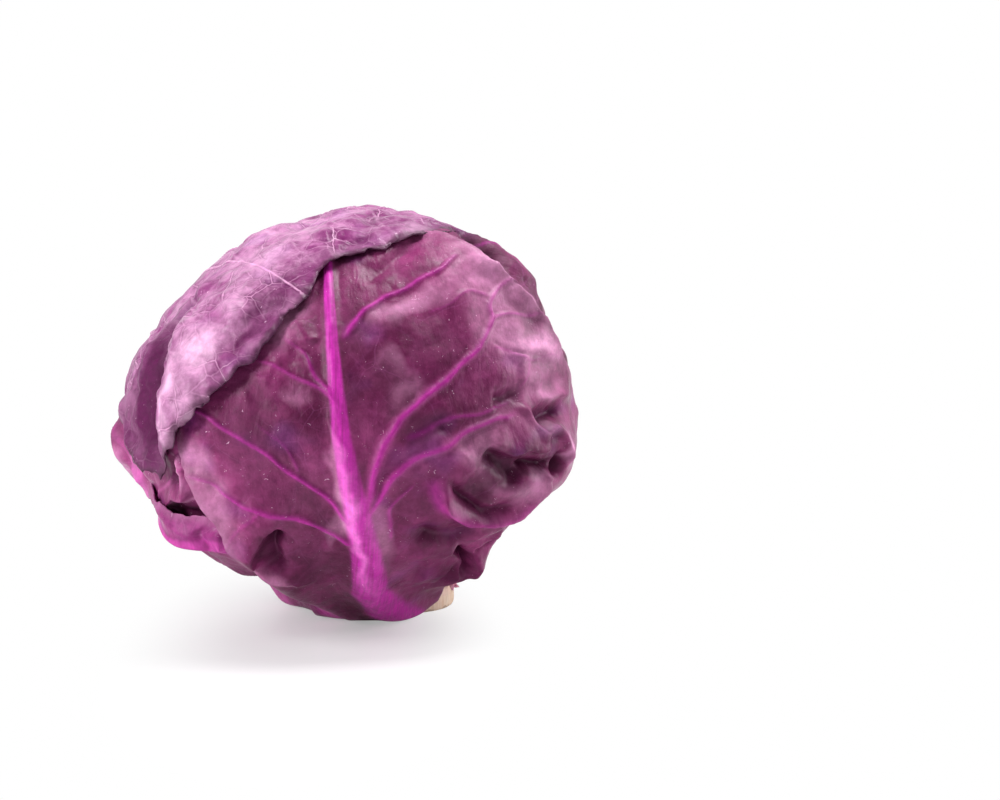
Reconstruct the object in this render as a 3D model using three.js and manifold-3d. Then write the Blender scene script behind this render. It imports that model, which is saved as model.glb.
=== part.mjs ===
// A red cabbage standing on its cut stump: a closed inner head, the stump, and the loose outer
// leaves that wrap the head one over another. Millimetres, +Z up, the front towards -Y.
// The origin is the centre of the stump's flat cut face.
import * as THREE from 'three';
import { mergeVertices } from 'three/addons/utils/BufferGeometryUtils.js';
import Module from 'manifold-3d';

const wasm = await Module();
wasm.setup();

// Driving dimensions
const HEAD_CENTRE = new THREE.Vector3(-14.5, -4, 70);
const HEAD_ACROSS = 74.5; // half widths of the inner head, before its lobes
const HEAD_DEEP = 72.5;
const HEAD_UP = 65.5;
const HEAD_DOWN = 61;
const STUMP_ACROSS = 22; // half widths of the cut face
const STUMP_DEEP = 17;
const STUMP_HEIGHT = 17;
const STUMP_BEVEL = 0.8;
const LEAF_THICKNESS = 1.2;
const LAYER_STEP = 2.3; // a leaf and the air under the next one
const CLEARANCE = 1; // air between the inner head and the first leaf
const COVER_FADE = 25; // how far past a leaf's margin the next leaf comes back down
const GAP = 0.35; // between pieces that touch
const FLOOR_EASE = 2.5; // how sharply the underside flattens towards the floor
const CELL = 10; // facet size of the leaves
const CHART_RADIUS = 76; // millimetres of leaf per radian round the head
const HEAD_DETAIL = 7;

// Broad lobes and hollows of the head, shared by every leaf: where they face (turn is 0 at the
// front and grows to the right, rise is above level, lean tips them over clockwise), their reach
// across and along in millimetres round the head, and how high they stand.
const HEAD_LOBES = [
  { at: [-95, 42, 0], reach: [55, 50], height: -3.5 }, // the upper left falls away
  { at: [60, 48, 0], reach: [30, 26], height: 4 }, // the upper right shoulder
  { at: [95, -38, 0], reach: [40, 42], height: -11 }, // drawn in above the stump on the right
  { at: [88, 25, 0], reach: [26, 24], height: -3 },
  { at: [-90, -36, 0], reach: [44, 34], height: -6 }, // drawn in at the lower left
  { at: [-78, 12, 0], reach: [10, 44], height: -6 }, // the deep crease down the left side
  { at: [60, -80, 0], reach: [24, 24], height: 9 }, // runs down to meet the stump
  { at: [-84, -75, 0], reach: [14, 14], height: 12 }, // the low side that the head also stands on
  { at: [-30, -62, 0], reach: [26, 22], height: -5 },
];

// Each leaf from the innermost to the outermost. Its chart is the flat map it is drawn on, centred
// where the leaf faces and leaning by some degrees. Rails run from the stump to the tip along the
// left margin, the midrib and the right margin; a tip is the far margin from left to right, where
// it isn't a plain curve. A swell is a bulge of the blade: its middle, its reach along and across,
// the angle it lies at and how high it stands.
const LEAVES = [
  {
    name: 'lower_left_leaf', colour: 0x8c3a6c, springs: -40, chart: [-60, -30, 0],
    left: [[-26, -34], [-46, -18], [-54, 0], [-44, 14]],
    rib: [[8, -30], [2, -16], [-2, 2], [-6, 18]],
    right: [[38, -28], [40, -14], [38, 4], [28, 18]],
    swells: [],
  },
  {
    name: 'back_leaf', colour: 0x7d3a63, springs: 185, chart: [185, 5, 0],
    left: [[-44, -52], [-62, -18], [-62, 20], [-46, 54], [-20, 76]],
    rib: [[0, -48], [0, -14], [0, 20], [0, 52], [0, 80]],
    right: [[44, -52], [62, -18], [62, 20], [46, 54], [20, 76]],
    swells: [],
  },
  {
    name: 'lower_right_leaf', colour: 0x6d4258, springs: 62, chart: [55, -35, 0],
    left: [[-30, -22], [-34, -8], [-30, 10], [-16, 24]],
    rib: [[-2, -20], [0, -6], [0, 12], [0, 28]],
    right: [[26, -24], [36, -10], [34, 10], [18, 24]],
    swells: [{ at: [-2, -12], along: 14, across: 7, angle: 60, height: 3 }],
  },
  {
    name: 'left_leaf', colour: 0x99487f, springs: -95, chart: [-75, -12, 0],
    left: [[-40, -48], [-58, -22], [-58, 8], [-40, 34], [-16, 46]],
    rib: [[-4, -44], [-2, -20], [0, 6], [0, 30], [2, 50]],
    right: [[30, -40], [56, -16], [60, 8], [44, 32], [18, 46]],
    swells: [
      { at: [-10, 6], along: 20, across: 10, angle: 75, height: 10 }, // the crescent at the far left
      { at: [36, -5], along: 14, across: 5, angle: 10, height: 5 }, // the lip over the hollow
    ],
  },
  {
    name: 'left_fold_leaf', colour: 0xa84c8c, springs: -25, chart: [-60, -30, 0],
    left: [[28, -28], [30, -10], [14, -5], [-4, -5], [-24, -3], [-44, 0]],
    rib: [[38, -28], [42, -4], [24, 4], [4, 4], [-20, 5], [-44, 7]],
    right: [[50, -28], [54, 0], [34, 10], [10, 13], [-12, 14], [-44, 14]],
    swells: [{ at: [6, 8], along: 26, across: 9, angle: 172, height: 6 }],
  },
  {
    name: 'right_leaf', colour: 0x6b2a52, springs: 118, chart: [118, 8, 0],
    left: [[-48, -50], [-70, -14], [-72, 24], [-52, 60], [-18, 92]],
    rib: [[0, -48], [2, -12], [2, 26], [2, 62], [2, 98]],
    right: [[42, -54], [62, -18], [64, 22], [50, 60], [22, 92]],
    swells: [{ at: [-48, 46], along: 34, across: 20, angle: 95, height: 6 }],
  },
  {
    name: 'front_leaf', colour: 0x8a3f74, springs: 8, chart: [10, -5, 0],
    left: [[-33, -66], [-45, -48], [-55, -24], [-69, -2], [-72, 24], [-58, 50], [-36, 78]],
    rib: [[3, -62], [-1, -40], [-6, -16], [-11, 9], [-13.5, 36], [-14.5, 62], [-14, 92]],
    right: [[44, -68], [68, -54], [96, -42], [106, -18], [92, 10], [76, 36], [57, 65], [34, 88]],
    swells: [
      { at: [64, -10], along: 44, across: 20, angle: -5, height: 6 }, // the lobe over the fold
      { at: [70, 48], along: 34, across: 12, angle: 125, height: 4 }, // the proud free margin
    ],
  },
  {
    name: 'crown_leaf', colour: 0xb985ad, springs: 222, chart: [-100, 35, 35],
    left: [[-40, -112], [-78, -78], [-104, -36], [-112, 8], [-104, 48], [-84, 84]],
    rib: [[8, -98], [-4, -66], [-10, -30], [-8, 10], [4, 50], [20, 89]],
    right: [[46, -92], [36, -60], [36, -28], [52, -6], [74, 0], [91, 3]],
    tip: [[-84, 84], [-50, 104], [-14, 107], [10, 96], [20, 89], [44, 87], [66, 70], [82, 42], [91, 3]],
    swells: [
      { at: [62, 10], along: 24, across: 7, angle: 0, height: 4 }, // the roll at its lower edge
      { at: [64, 42], along: 26, across: 14, angle: -35, height: 3 }, // the shoulder above it
    ],
  },
];
const RIB_BASE = { height: 5, width: 9 };
const RIB_TIP = { height: 0.8, width: 3 };
const TIP_PULL = 3; // how late along a leaf its tip curve takes over from its rails
const BASE_SPREAD = 34; // half of the stump's rim that one leaf holds, in degrees

const radians = THREE.MathUtils.degToRad;
const mix = THREE.MathUtils.lerp;

function facing(turn, rise) {
  const [t, r] = [radians(turn), radians(rise)];
  return new THREE.Vector3(Math.sin(t) * Math.cos(r), -Math.cos(t) * Math.cos(r), Math.sin(r));
}

function headRadius(direction) {
  const vertical = direction.z > 0 ? HEAD_UP : HEAD_DOWN;
  const scaled = new THREE.Vector3(
    direction.x / HEAD_ACROSS, direction.y / HEAD_DEEP, direction.z / vertical);
  const bulge = lobes.reduce((sum, { chart, reach, height }) => {
    const [x, y] = chart.flatten(direction);
    return sum + height * Math.exp(-((x / reach[0]) ** 2) - (y / reach[1]) ** 2);
  }, 0);
  return 1 / scaled.length() + bulge;
}

// The point at a height over the inner head. The underside eases flat instead of passing the floor.
function overHead(direction, height) {
  const point = direction.clone().multiplyScalar(headRadius(direction) + height).add(HEAD_CENTRE);
  point.z = FLOOR_EASE * Math.log1p(Math.exp(point.z / FLOOR_EASE));
  return point;
}

// A flat map of the head: distance from the middle of the chart is distance round the head.
class Chart {
  constructor(turn, rise, lean) {
    this.middle = facing(turn, rise);
    const up = facing(turn, rise + 90);
    this.right = facing(turn + 90, 0).applyAxisAngle(this.middle, radians(-lean));
    this.up = up.applyAxisAngle(this.middle, radians(-lean));
  }

  wrap([x, y]) {
    const angle = Math.hypot(x, y) / CHART_RADIUS;
    const sideways = angle > 0 ? Math.sin(angle) / (angle * CHART_RADIUS) : 1 / CHART_RADIUS;
    return this.middle.clone().multiplyScalar(Math.cos(angle))
      .addScaledVector(this.right, x * sideways).addScaledVector(this.up, y * sideways);
  }

  flatten(direction) {
    const [x, y] = [direction.dot(this.right), direction.dot(this.up)];
    const sine = Math.hypot(x, y);
    const stretch = sine > 0 ? CHART_RADIUS * direction.angleTo(this.middle) / sine : CHART_RADIUS;
    return [x * stretch, y * stretch];
  }
}

const lobes = HEAD_LOBES.map((lobe) => ({ ...lobe, chart: new Chart(...lobe.at) }));

function smoothCurve(points) {
  return new THREE.CatmullRomCurve3(points.map(([x, y]) => new THREE.Vector3(x, y, 0)), false,
    'catmullrom');
}

// The chart point where a leaf meets the stump's rim at some turn round the stump.
function stumpRim(chart, turn) {
  const rim = facing(turn, 0).multiply(new THREE.Vector3(STUMP_ACROSS, STUMP_DEEP, 0));
  rim.multiplyScalar(0.9).setZ(STUMP_HEIGHT / 2);
  return chart.flatten(rim.sub(HEAD_CENTRE).normalize());
}

function prepare(leaf) {
  const chart = new Chart(...leaf.chart);
  const rail = (side, points) =>
    smoothCurve([stumpRim(chart, leaf.springs + side * BASE_SPREAD), ...points]);
  const rails = [rail(-1, leaf.left), rail(0, leaf.rib), rail(1, leaf.right)];
  const tip = leaf.tip ? smoothCurve(leaf.tip) : null;
  const prepared = { ...leaf, chart, rails, tip };
  const steps = [...Array(13).keys()].map((step) => step / 12);
  prepared.ribLine = steps.map((v) => pointAt(prepared, 0, v));
  prepared.outline = [
    ...steps.map((v) => pointAt(prepared, 1, v)),
    ...steps.map((s) => pointAt(prepared, 1 - 2 * s, 1)),
    ...steps.map((v) => pointAt(prepared, -1, 1 - v)),
    ...steps.map((s) => pointAt(prepared, 2 * s - 1, 0)),
  ];
  return prepared;
}

// The chart point of a leaf: u is -1 to 1 from the left margin to the right, v is 0 to 1 to the tip.
function pointAt(leaf, u, v) {
  const point = acrossRails(leaf, u, v);
  if (leaf.tip) {
    const shift = leaf.tip.getPoint((u + 1) / 2).sub(acrossRails(leaf, u, 1));
    point.addScaledVector(shift, v ** TIP_PULL);
  }
  return [point.x, point.y];
}

function acrossRails(leaf, u, v) {
  const [left, rib, right] = leaf.rails.map((curve) => curve.getPoint(v));
  return left.multiplyScalar(u * (u - 1) / 2).addScaledVector(rib, 1 - u * u)
    .addScaledVector(right, u * (u + 1) / 2);
}

// How far a chart point is from a line of points, and how far along the line that is, 0 to 1.
function nearest(line, [x, y]) {
  let best = { distance: Infinity, along: 0 };
  for (let i = 0; i + 1 < line.length; i += 1) {
    const [ax, ay] = line[i];
    const [dx, dy] = [line[i + 1][0] - ax, line[i + 1][1] - ay];
    const squared = dx * dx + dy * dy;
    const t = squared > 0
      ? THREE.MathUtils.clamp(((x - ax) * dx + (y - ay) * dy) / squared, 0, 1) : 0;
    const distance = Math.hypot(x - ax - t * dx, y - ay - t * dy);
    if (distance < best.distance) best = { distance, along: (i + t) / (line.length - 1) };
  }
  return best;
}

function inside(outline, [x, y]) {
  let within = false;
  outline.forEach(([ax, ay], i) => {
    const [bx, by] = outline[(i + 1) % outline.length];
    const crosses = (ay > y) !== (by > y) && x < ax + (bx - ax) * (y - ay) / (by - ay);
    if (crosses) within = !within;
  });
  return within;
}

// 1 over the leaf, falling smoothly to 0 past its margin.
function cover(leaf, point) {
  if (inside(leaf.outline, point)) return 1;
  const away = nearest([...leaf.outline, leaf.outline[0]], point).distance / COVER_FADE;
  return 1 - THREE.MathUtils.smoothstep(away, 0, 1);
}

function ridge(leaf, point) {
  const { distance, along } = nearest(leaf.ribLine, point);
  const fade = (1 - along) ** 1.5;
  const height = mix(RIB_TIP.height, RIB_BASE.height, fade);
  const width = mix(RIB_TIP.width, RIB_BASE.width, fade);
  return height * Math.exp(-((distance / width) ** 2));
}

function swelling(leaf, [x, y]) {
  return leaf.swells.reduce((sum, { at, along, across, angle, height }) => {
    const [cos, sin] = [Math.cos(radians(angle)), Math.sin(radians(angle))];
    const [dx, dy] = [x - at[0], y - at[1]];
    const lengthways = (dx * cos + dy * sin) / along;
    const sideways = (dy * cos - dx * sin) / across;
    return sum + height * Math.exp(-(lengthways ** 2) - (sideways ** 2));
  }, 0);
}

// How high the leaves already laid lift the next one off the head.
function drape(laid, direction) {
  return laid.reduce((sum, leaf) => {
    const point = leaf.chart.flatten(direction);
    const share = cover(leaf, point);
    if (share === 0) return sum;
    return sum + share * (LAYER_STEP + ridge(leaf, point) + swelling(leaf, point));
  }, CLEARANCE);
}

function solid(positions, faces) {
  return new wasm.Manifold(new wasm.Mesh({
    numProp: 3, vertProperties: new Float32Array(positions), triVerts: new Uint32Array(faces),
  }));
}

function solidOf(geometry) {
  geometry.deleteAttribute('normal');
  geometry.deleteAttribute('uv');
  const merged = mergeVertices(geometry);
  return solid(merged.attributes.position.array, merged.index.array);
}

// Places across the leaf, closer together towards the midrib.
function columnPlaces(leaf) {
  const [left, rib, right] = leaf.rails.map((curve) => curve.getPoint(0.5));
  const side = (count) => [...Array(count).keys()].map((i) => ((i + 1) / count) ** 1.25);
  const leftSide = side(Math.ceil(left.distanceTo(rib) / CELL) + 1).map((u) => -u).reverse();
  return [...leftSide, 0, ...side(Math.ceil(right.distanceTo(rib) / CELL) + 1)];
}

// The blade between an inner and an outer height, closed round its margin.
function blade(leaf, heights) {
  const columns = columnPlaces(leaf);
  const rowCount = Math.ceil(leaf.rails[1].getLength() / CELL);
  const [width, depth] = [columns.length, rowCount + 1];
  const positions = [];
  for (const layer of [0, 1]) {
    for (let row = 0; row < depth; row += 1) {
      for (const u of columns) {
        const point = pointAt(leaf, u, row / rowCount);
        const direction = leaf.chart.wrap(point);
        positions.push(...overHead(direction, heights(point, direction)[layer]).toArray());
      }
    }
  }
  const at = (layer, row, column) => (layer * depth + row) * width + column;
  const faces = [];
  const quad = (a, b, c, d) => faces.push(a, b, c, a, c, d);
  for (let row = 0; row + 1 < depth; row += 1) {
    for (let column = 0; column + 1 < width; column += 1) {
      quad(at(1, row, column), at(1, row, column + 1), at(1, row + 1, column + 1),
        at(1, row + 1, column));
      quad(at(0, row + 1, column), at(0, row + 1, column + 1), at(0, row, column + 1),
        at(0, row, column));
    }
    quad(at(0, row, 0), at(1, row, 0), at(1, row + 1, 0), at(0, row + 1, 0));
    quad(at(1, row, width - 1), at(0, row, width - 1), at(0, row + 1, width - 1),
      at(1, row + 1, width - 1));
  }
  for (let column = 0; column + 1 < width; column += 1) {
    quad(at(0, 0, column), at(0, 0, column + 1), at(1, 0, column + 1), at(1, 0, column));
    quad(at(1, depth - 1, column), at(1, depth - 1, column + 1), at(0, depth - 1, column + 1),
      at(0, depth - 1, column));
  }
  return solid(positions, faces);
}

// The body without the crumbs that a cut can leave beside it.
function largest(body) {
  return body.decompose().reduce((best, piece) => (piece.volume() > best.volume() ? piece : best));
}

function stumpSolid(extra) {
  const face = new THREE.Shape();
  face.absellipse(0, 0, STUMP_ACROSS + extra, STUMP_DEEP + extra, 0, 2 * Math.PI);
  const geometry = new THREE.ExtrudeGeometry(face, {
    depth: STUMP_HEIGHT - 2 * STUMP_BEVEL + 2 * extra,
    curveSegments: 18,
    bevelThickness: STUMP_BEVEL,
    bevelSize: STUMP_BEVEL,
    bevelOffset: -STUMP_BEVEL,
    bevelSegments: 1,
  });
  geometry.translate(0, 0, STUMP_BEVEL - extra);
  return solidOf(geometry);
}

function heartSolid(extra) {
  const geometry = new THREE.IcosahedronGeometry(1, HEAD_DETAIL);
  const position = geometry.attributes.position;
  const direction = new THREE.Vector3();
  for (let i = 0; i < position.count; i += 1) {
    direction.fromBufferAttribute(position, i).normalize();
    position.setXYZ(i, ...overHead(direction, extra).toArray());
  }
  return solidOf(geometry);
}

function meshOf(name, body, colour, roughness) {
  const { vertProperties, triVerts } = body.getMesh();
  const geometry = new THREE.BufferGeometry();
  geometry.setAttribute('position', new THREE.BufferAttribute(vertProperties, 3));
  geometry.setIndex(new THREE.BufferAttribute(triVerts, 1));
  geometry.computeVertexNormals();
  const material = new THREE.MeshStandardMaterial({ color: colour, roughness, metalness: 0 });
  const mesh = new THREE.Mesh(geometry, material);
  mesh.name = name;
  return mesh;
}

function leafMeshes() {
  const laid = [];
  let taken = stumpSolid(GAP).add(heartSolid(GAP));
  return LEAVES.map((description) => {
    const leaf = prepare(description);
    const below = [...laid];
    const outer = (point, under) => under + LEAF_THICKNESS + ridge(leaf, point);
    const under = (point, direction) => drape(below, direction) + swelling(leaf, point);
    const body = blade(leaf, (point, direction) => {
      const height = under(point, direction);
      return [height, outer(point, height)];
    });
    const room = blade(leaf, (point, direction) => {
      const height = under(point, direction);
      return [height - LAYER_STEP, outer(point, height) + GAP];
    });
    const mesh = meshOf(leaf.name, largest(body.subtract(taken)), leaf.colour, 0.4);
    taken = taken.add(room);
    laid.push(leaf);
    return mesh;
  });
}

const cabbage = new THREE.Group();
cabbage.add(meshOf('stump', stumpSolid(0), 0xe6cfc0, 0.7));
cabbage.add(meshOf('heart', heartSolid(0).subtract(stumpSolid(GAP)), 0x7a3f6e, 0.45));
cabbage.add(...leafMeshes());

export default cabbage;
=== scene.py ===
"""A red cabbage standing on its cut stump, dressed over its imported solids."""
import math
import bpy
import numpy as np
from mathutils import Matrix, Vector


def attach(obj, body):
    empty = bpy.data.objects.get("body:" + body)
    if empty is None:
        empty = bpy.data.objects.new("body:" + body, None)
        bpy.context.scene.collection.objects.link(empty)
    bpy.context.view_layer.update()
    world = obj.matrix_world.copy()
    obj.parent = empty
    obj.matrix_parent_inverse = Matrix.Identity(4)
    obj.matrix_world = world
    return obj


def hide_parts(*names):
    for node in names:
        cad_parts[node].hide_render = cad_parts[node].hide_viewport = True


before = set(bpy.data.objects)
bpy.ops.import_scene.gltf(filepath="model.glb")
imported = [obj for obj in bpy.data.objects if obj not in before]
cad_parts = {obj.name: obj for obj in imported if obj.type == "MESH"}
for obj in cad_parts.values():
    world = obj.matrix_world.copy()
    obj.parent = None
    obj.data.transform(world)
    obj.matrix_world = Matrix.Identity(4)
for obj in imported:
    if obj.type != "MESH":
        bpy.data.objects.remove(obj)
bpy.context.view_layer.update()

MM = 0.001  # shapes below are worked out in millimetres and written to the meshes in metres

# The head, as the solids have it
HEAD_CENTRE = np.array([-14.5, -4.0, 70.0])
HEAD_ACROSS, HEAD_DEEP, HEAD_UP, HEAD_DOWN = 74.5, 72.5, 65.5, 61.0
STUMP_ACROSS, STUMP_DEEP, STUMP_HEIGHT = 22.0, 17.0, 17.0
STUMP_DISH = 0.9  # how far the cut face is hollowed in its middle
LEAF_THICKNESS = 1.2
MARGIN_THICKNESS, THICKER_INSIDE = 0.5, 0.7  # of a leaf's skin
LAYER_STEP = 2.3
CLEARANCE = 1.0
COVER_FADE = 25.0  # past its margin, over this far, a leaf stops lifting those above it
FLOOR_EASE = 2.5  # how softly the low leaves flatten onto the floor
CHART_RADIUS = 76.0
BASE_SPREAD = 34.0  # degrees round the stump from a leaf's midrib to each of its margins
TIP_PULL = 3  # how late a leaf's rows bend towards its tip line

# Broad lobes of the head: (turn, rise, lean), reach across and along, height
HEAD_LOBES = [
    ((-95, 42, 0), (55, 50), -3.5),  # the upper left falls away
    ((60, 48, 0), (30, 26), 4),  # the upper right shoulder
    ((95, -38, 0), (40, 42), -11),  # drawn in above the stump on the right
    ((88, 25, 0), (26, 24), -3),
    ((-90, -36, 0), (44, 34), -6),  # drawn in at the lower left
    ((-78, 12, 0), (10, 44), -6),  # the deep crease down the left side
    ((60, -80, 0), (24, 24), 9),  # runs down to meet the stump
    ((-84, -75, 0), (14, 14), 12),  # the low side that the head also stands on
    ((-30, -62, 0), (26, 22), -5),
]

# Where the loose outer leaves are thinner than their solids, given the same way
SKIN_LOBES = [
    ((84, -30, 0), (22, 15), -5),  # under the lobe at the right
    ((96, 44, 0), (26, 20), -3.5),
    ((-88, 24, 0), (20, 20), -3.5),
    ((-82, -6, 0), (14, 14), -2.5),
    ((150, 80, 0), (60, 26), -1.8),
    ((-60, -60, 0), (22, 12), -5),
    ((-78, -70, 0), (18, 14), -8),
    ((76, -46, 0), (14, 10), -3),
]

# Leaves from the innermost to the outermost, on flat charts in millimetres round the head. Rails run
# from the stump to the tip. A swell is (x, y), reach along and across, its angle and its height.
LEAVES = {
    "lower_left_leaf": dict(
        springs=-40, chart=(-60, -30, 0), cells=(110, 110),
        left=[(-26, -34), (-46, -22), (-54, -8), (-44, 2)],
        rib=[(8, -30), (2, -18), (-2, -6), (-6, 5)],
        right=[(38, -28), (40, -16), (38, -4), (28, 6)],
        swells=[]),
    "back_leaf": dict(
        springs=185, chart=(185, 5, 0), cells=(170, 190),
        left=[(-44, -52), (-62, -18), (-62, 20), (-46, 54), (-20, 76)],
        rib=[(0, -48), (0, -14), (0, 20), (0, 52), (0, 80)],
        right=[(44, -52), (62, -18), (62, 20), (46, 54), (20, 76)],
        swells=[]),
    "lower_right_leaf": dict(
        springs=62, chart=(55, -35, 0), cells=(110, 110),
        left=[(-30, -22), (-34, -8), (-30, 10), (-16, 24)],
        rib=[(-2, -20), (0, -6), (0, 12), (0, 28)],
        right=[(26, -24), (36, -10), (34, 10), (18, 24)],
        swells=[((-2, -12), 14, 7, 60, 3)]),
    "left_leaf": dict(
        springs=-95, chart=(-75, -12, 0), cells=(190, 180),
        left=[(-40, -48), (-58, -22), (-58, 8), (-40, 34), (-16, 46)],
        rib=[(-4, -44), (-2, -20), (0, 6), (0, 30), (2, 50)],
        right=[(46, -46), (62, -16), (62, 8), (44, 32), (18, 46)],
        swells=[((-10, 6), 20, 10, 75, 10), ((36, -5), 14, 5, 10, 1.5)]),
    "left_fold_leaf": dict(
        springs=-25, chart=(-60, -30, 0), cells=(60, 260),
        left=[(30, -28), (38, -10), (30, -3), (16, -1), (2, 2), (-24, 6)],
        rib=[(40, -28), (46, -6), (33, 2), (18, 5), (4, 9), (-24, 11)],
        right=[(50, -28), (53, -3), (36, 10), (20, 15), (6, 18), (-22, 18)],
        swells=[((19, 7), 15, 8, 168, 7), ((-18, 12), 16, 14, 0, -4)]),
    "right_leaf": dict(
        springs=118, chart=(118, 8, 0), cells=(200, 230),
        left=[(-48, -50), (-72, -14), (-82, 24), (-76, 62), (-44, 96)],
        rib=[(0, -48), (2, -12), (2, 26), (2, 62), (2, 98)],
        right=[(42, -54), (62, -18), (64, 22), (50, 60), (22, 92)],
        swells=[((-48, 46), 34, 20, 95, 6)]),
    "front_leaf": dict(
        springs=8, chart=(10, -5, 0), cells=(300, 300),
        left=[(-26, -65), (-39, -47), (-49, -25), (-65, -4), (-72, 24), (-58, 50), (-36, 78)],
        rib=[(3, -62), (-1, -40), (-6, -16), (-11, 9), (-13.5, 36), (-14.5, 62), (-14, 92)],
        right=[(44, -68), (68, -54), (96, -42), (106, -18), (92, 10), (75, 35), (53, 61), (34, 86)],
        swells=[((64, -10), 44, 20, -5, 6), ((70, 48), 34, 12, 125, 4)]),
    "crown_leaf": dict(
        springs=222, chart=(-100, 35, 35), cells=(300, 300),
        left=[(-40, -112), (-78, -78), (-104, -36), (-112, 8), (-104, 48), (-84, 84)],
        rib=[(8, -98), (-4, -66), (-10, -30), (-8, 10), (4, 50), (20, 89)],
        right=[(46, -92), (34, -60), (34, -34), (50, -16), (70, -10), (88, 4)],
        tip=[(-84, 84), (-66, 95), (-46, 105), (-31, 105), (-15, 104), (-6, 100), (4, 93), (12, 89), (20, 86),
             (33, 85), (44, 79), (53, 75), (61, 68), (68, 59), (74, 49), (78, 40), (83, 27), (86, 14),
             (88, 4)],
        swells=[((64, 42), 26, 14, -35, 3)]),
}
RIB_BASE = (5.0, 9.0)  # height, width
RIB_TIP = (0.8, 3.0)
# The skin's sharper midrib: height at the tip, how fast it falls off, width at the tip, how fast that falls
BOLD_RIB = (0.8, 1.7, 1.9, 2.2)
SKIN_RIBS = {"crown_leaf": (0.2, 4, 0.45, 5)}
RIB_RISE, RIB_FLARE = 4.2, 8.0  # what the base adds to the height and the width
OUTLINE_STEPS = 13
COARSE = 4  # fine cells to one coarse cell, where the layers are laid over one another

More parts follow.
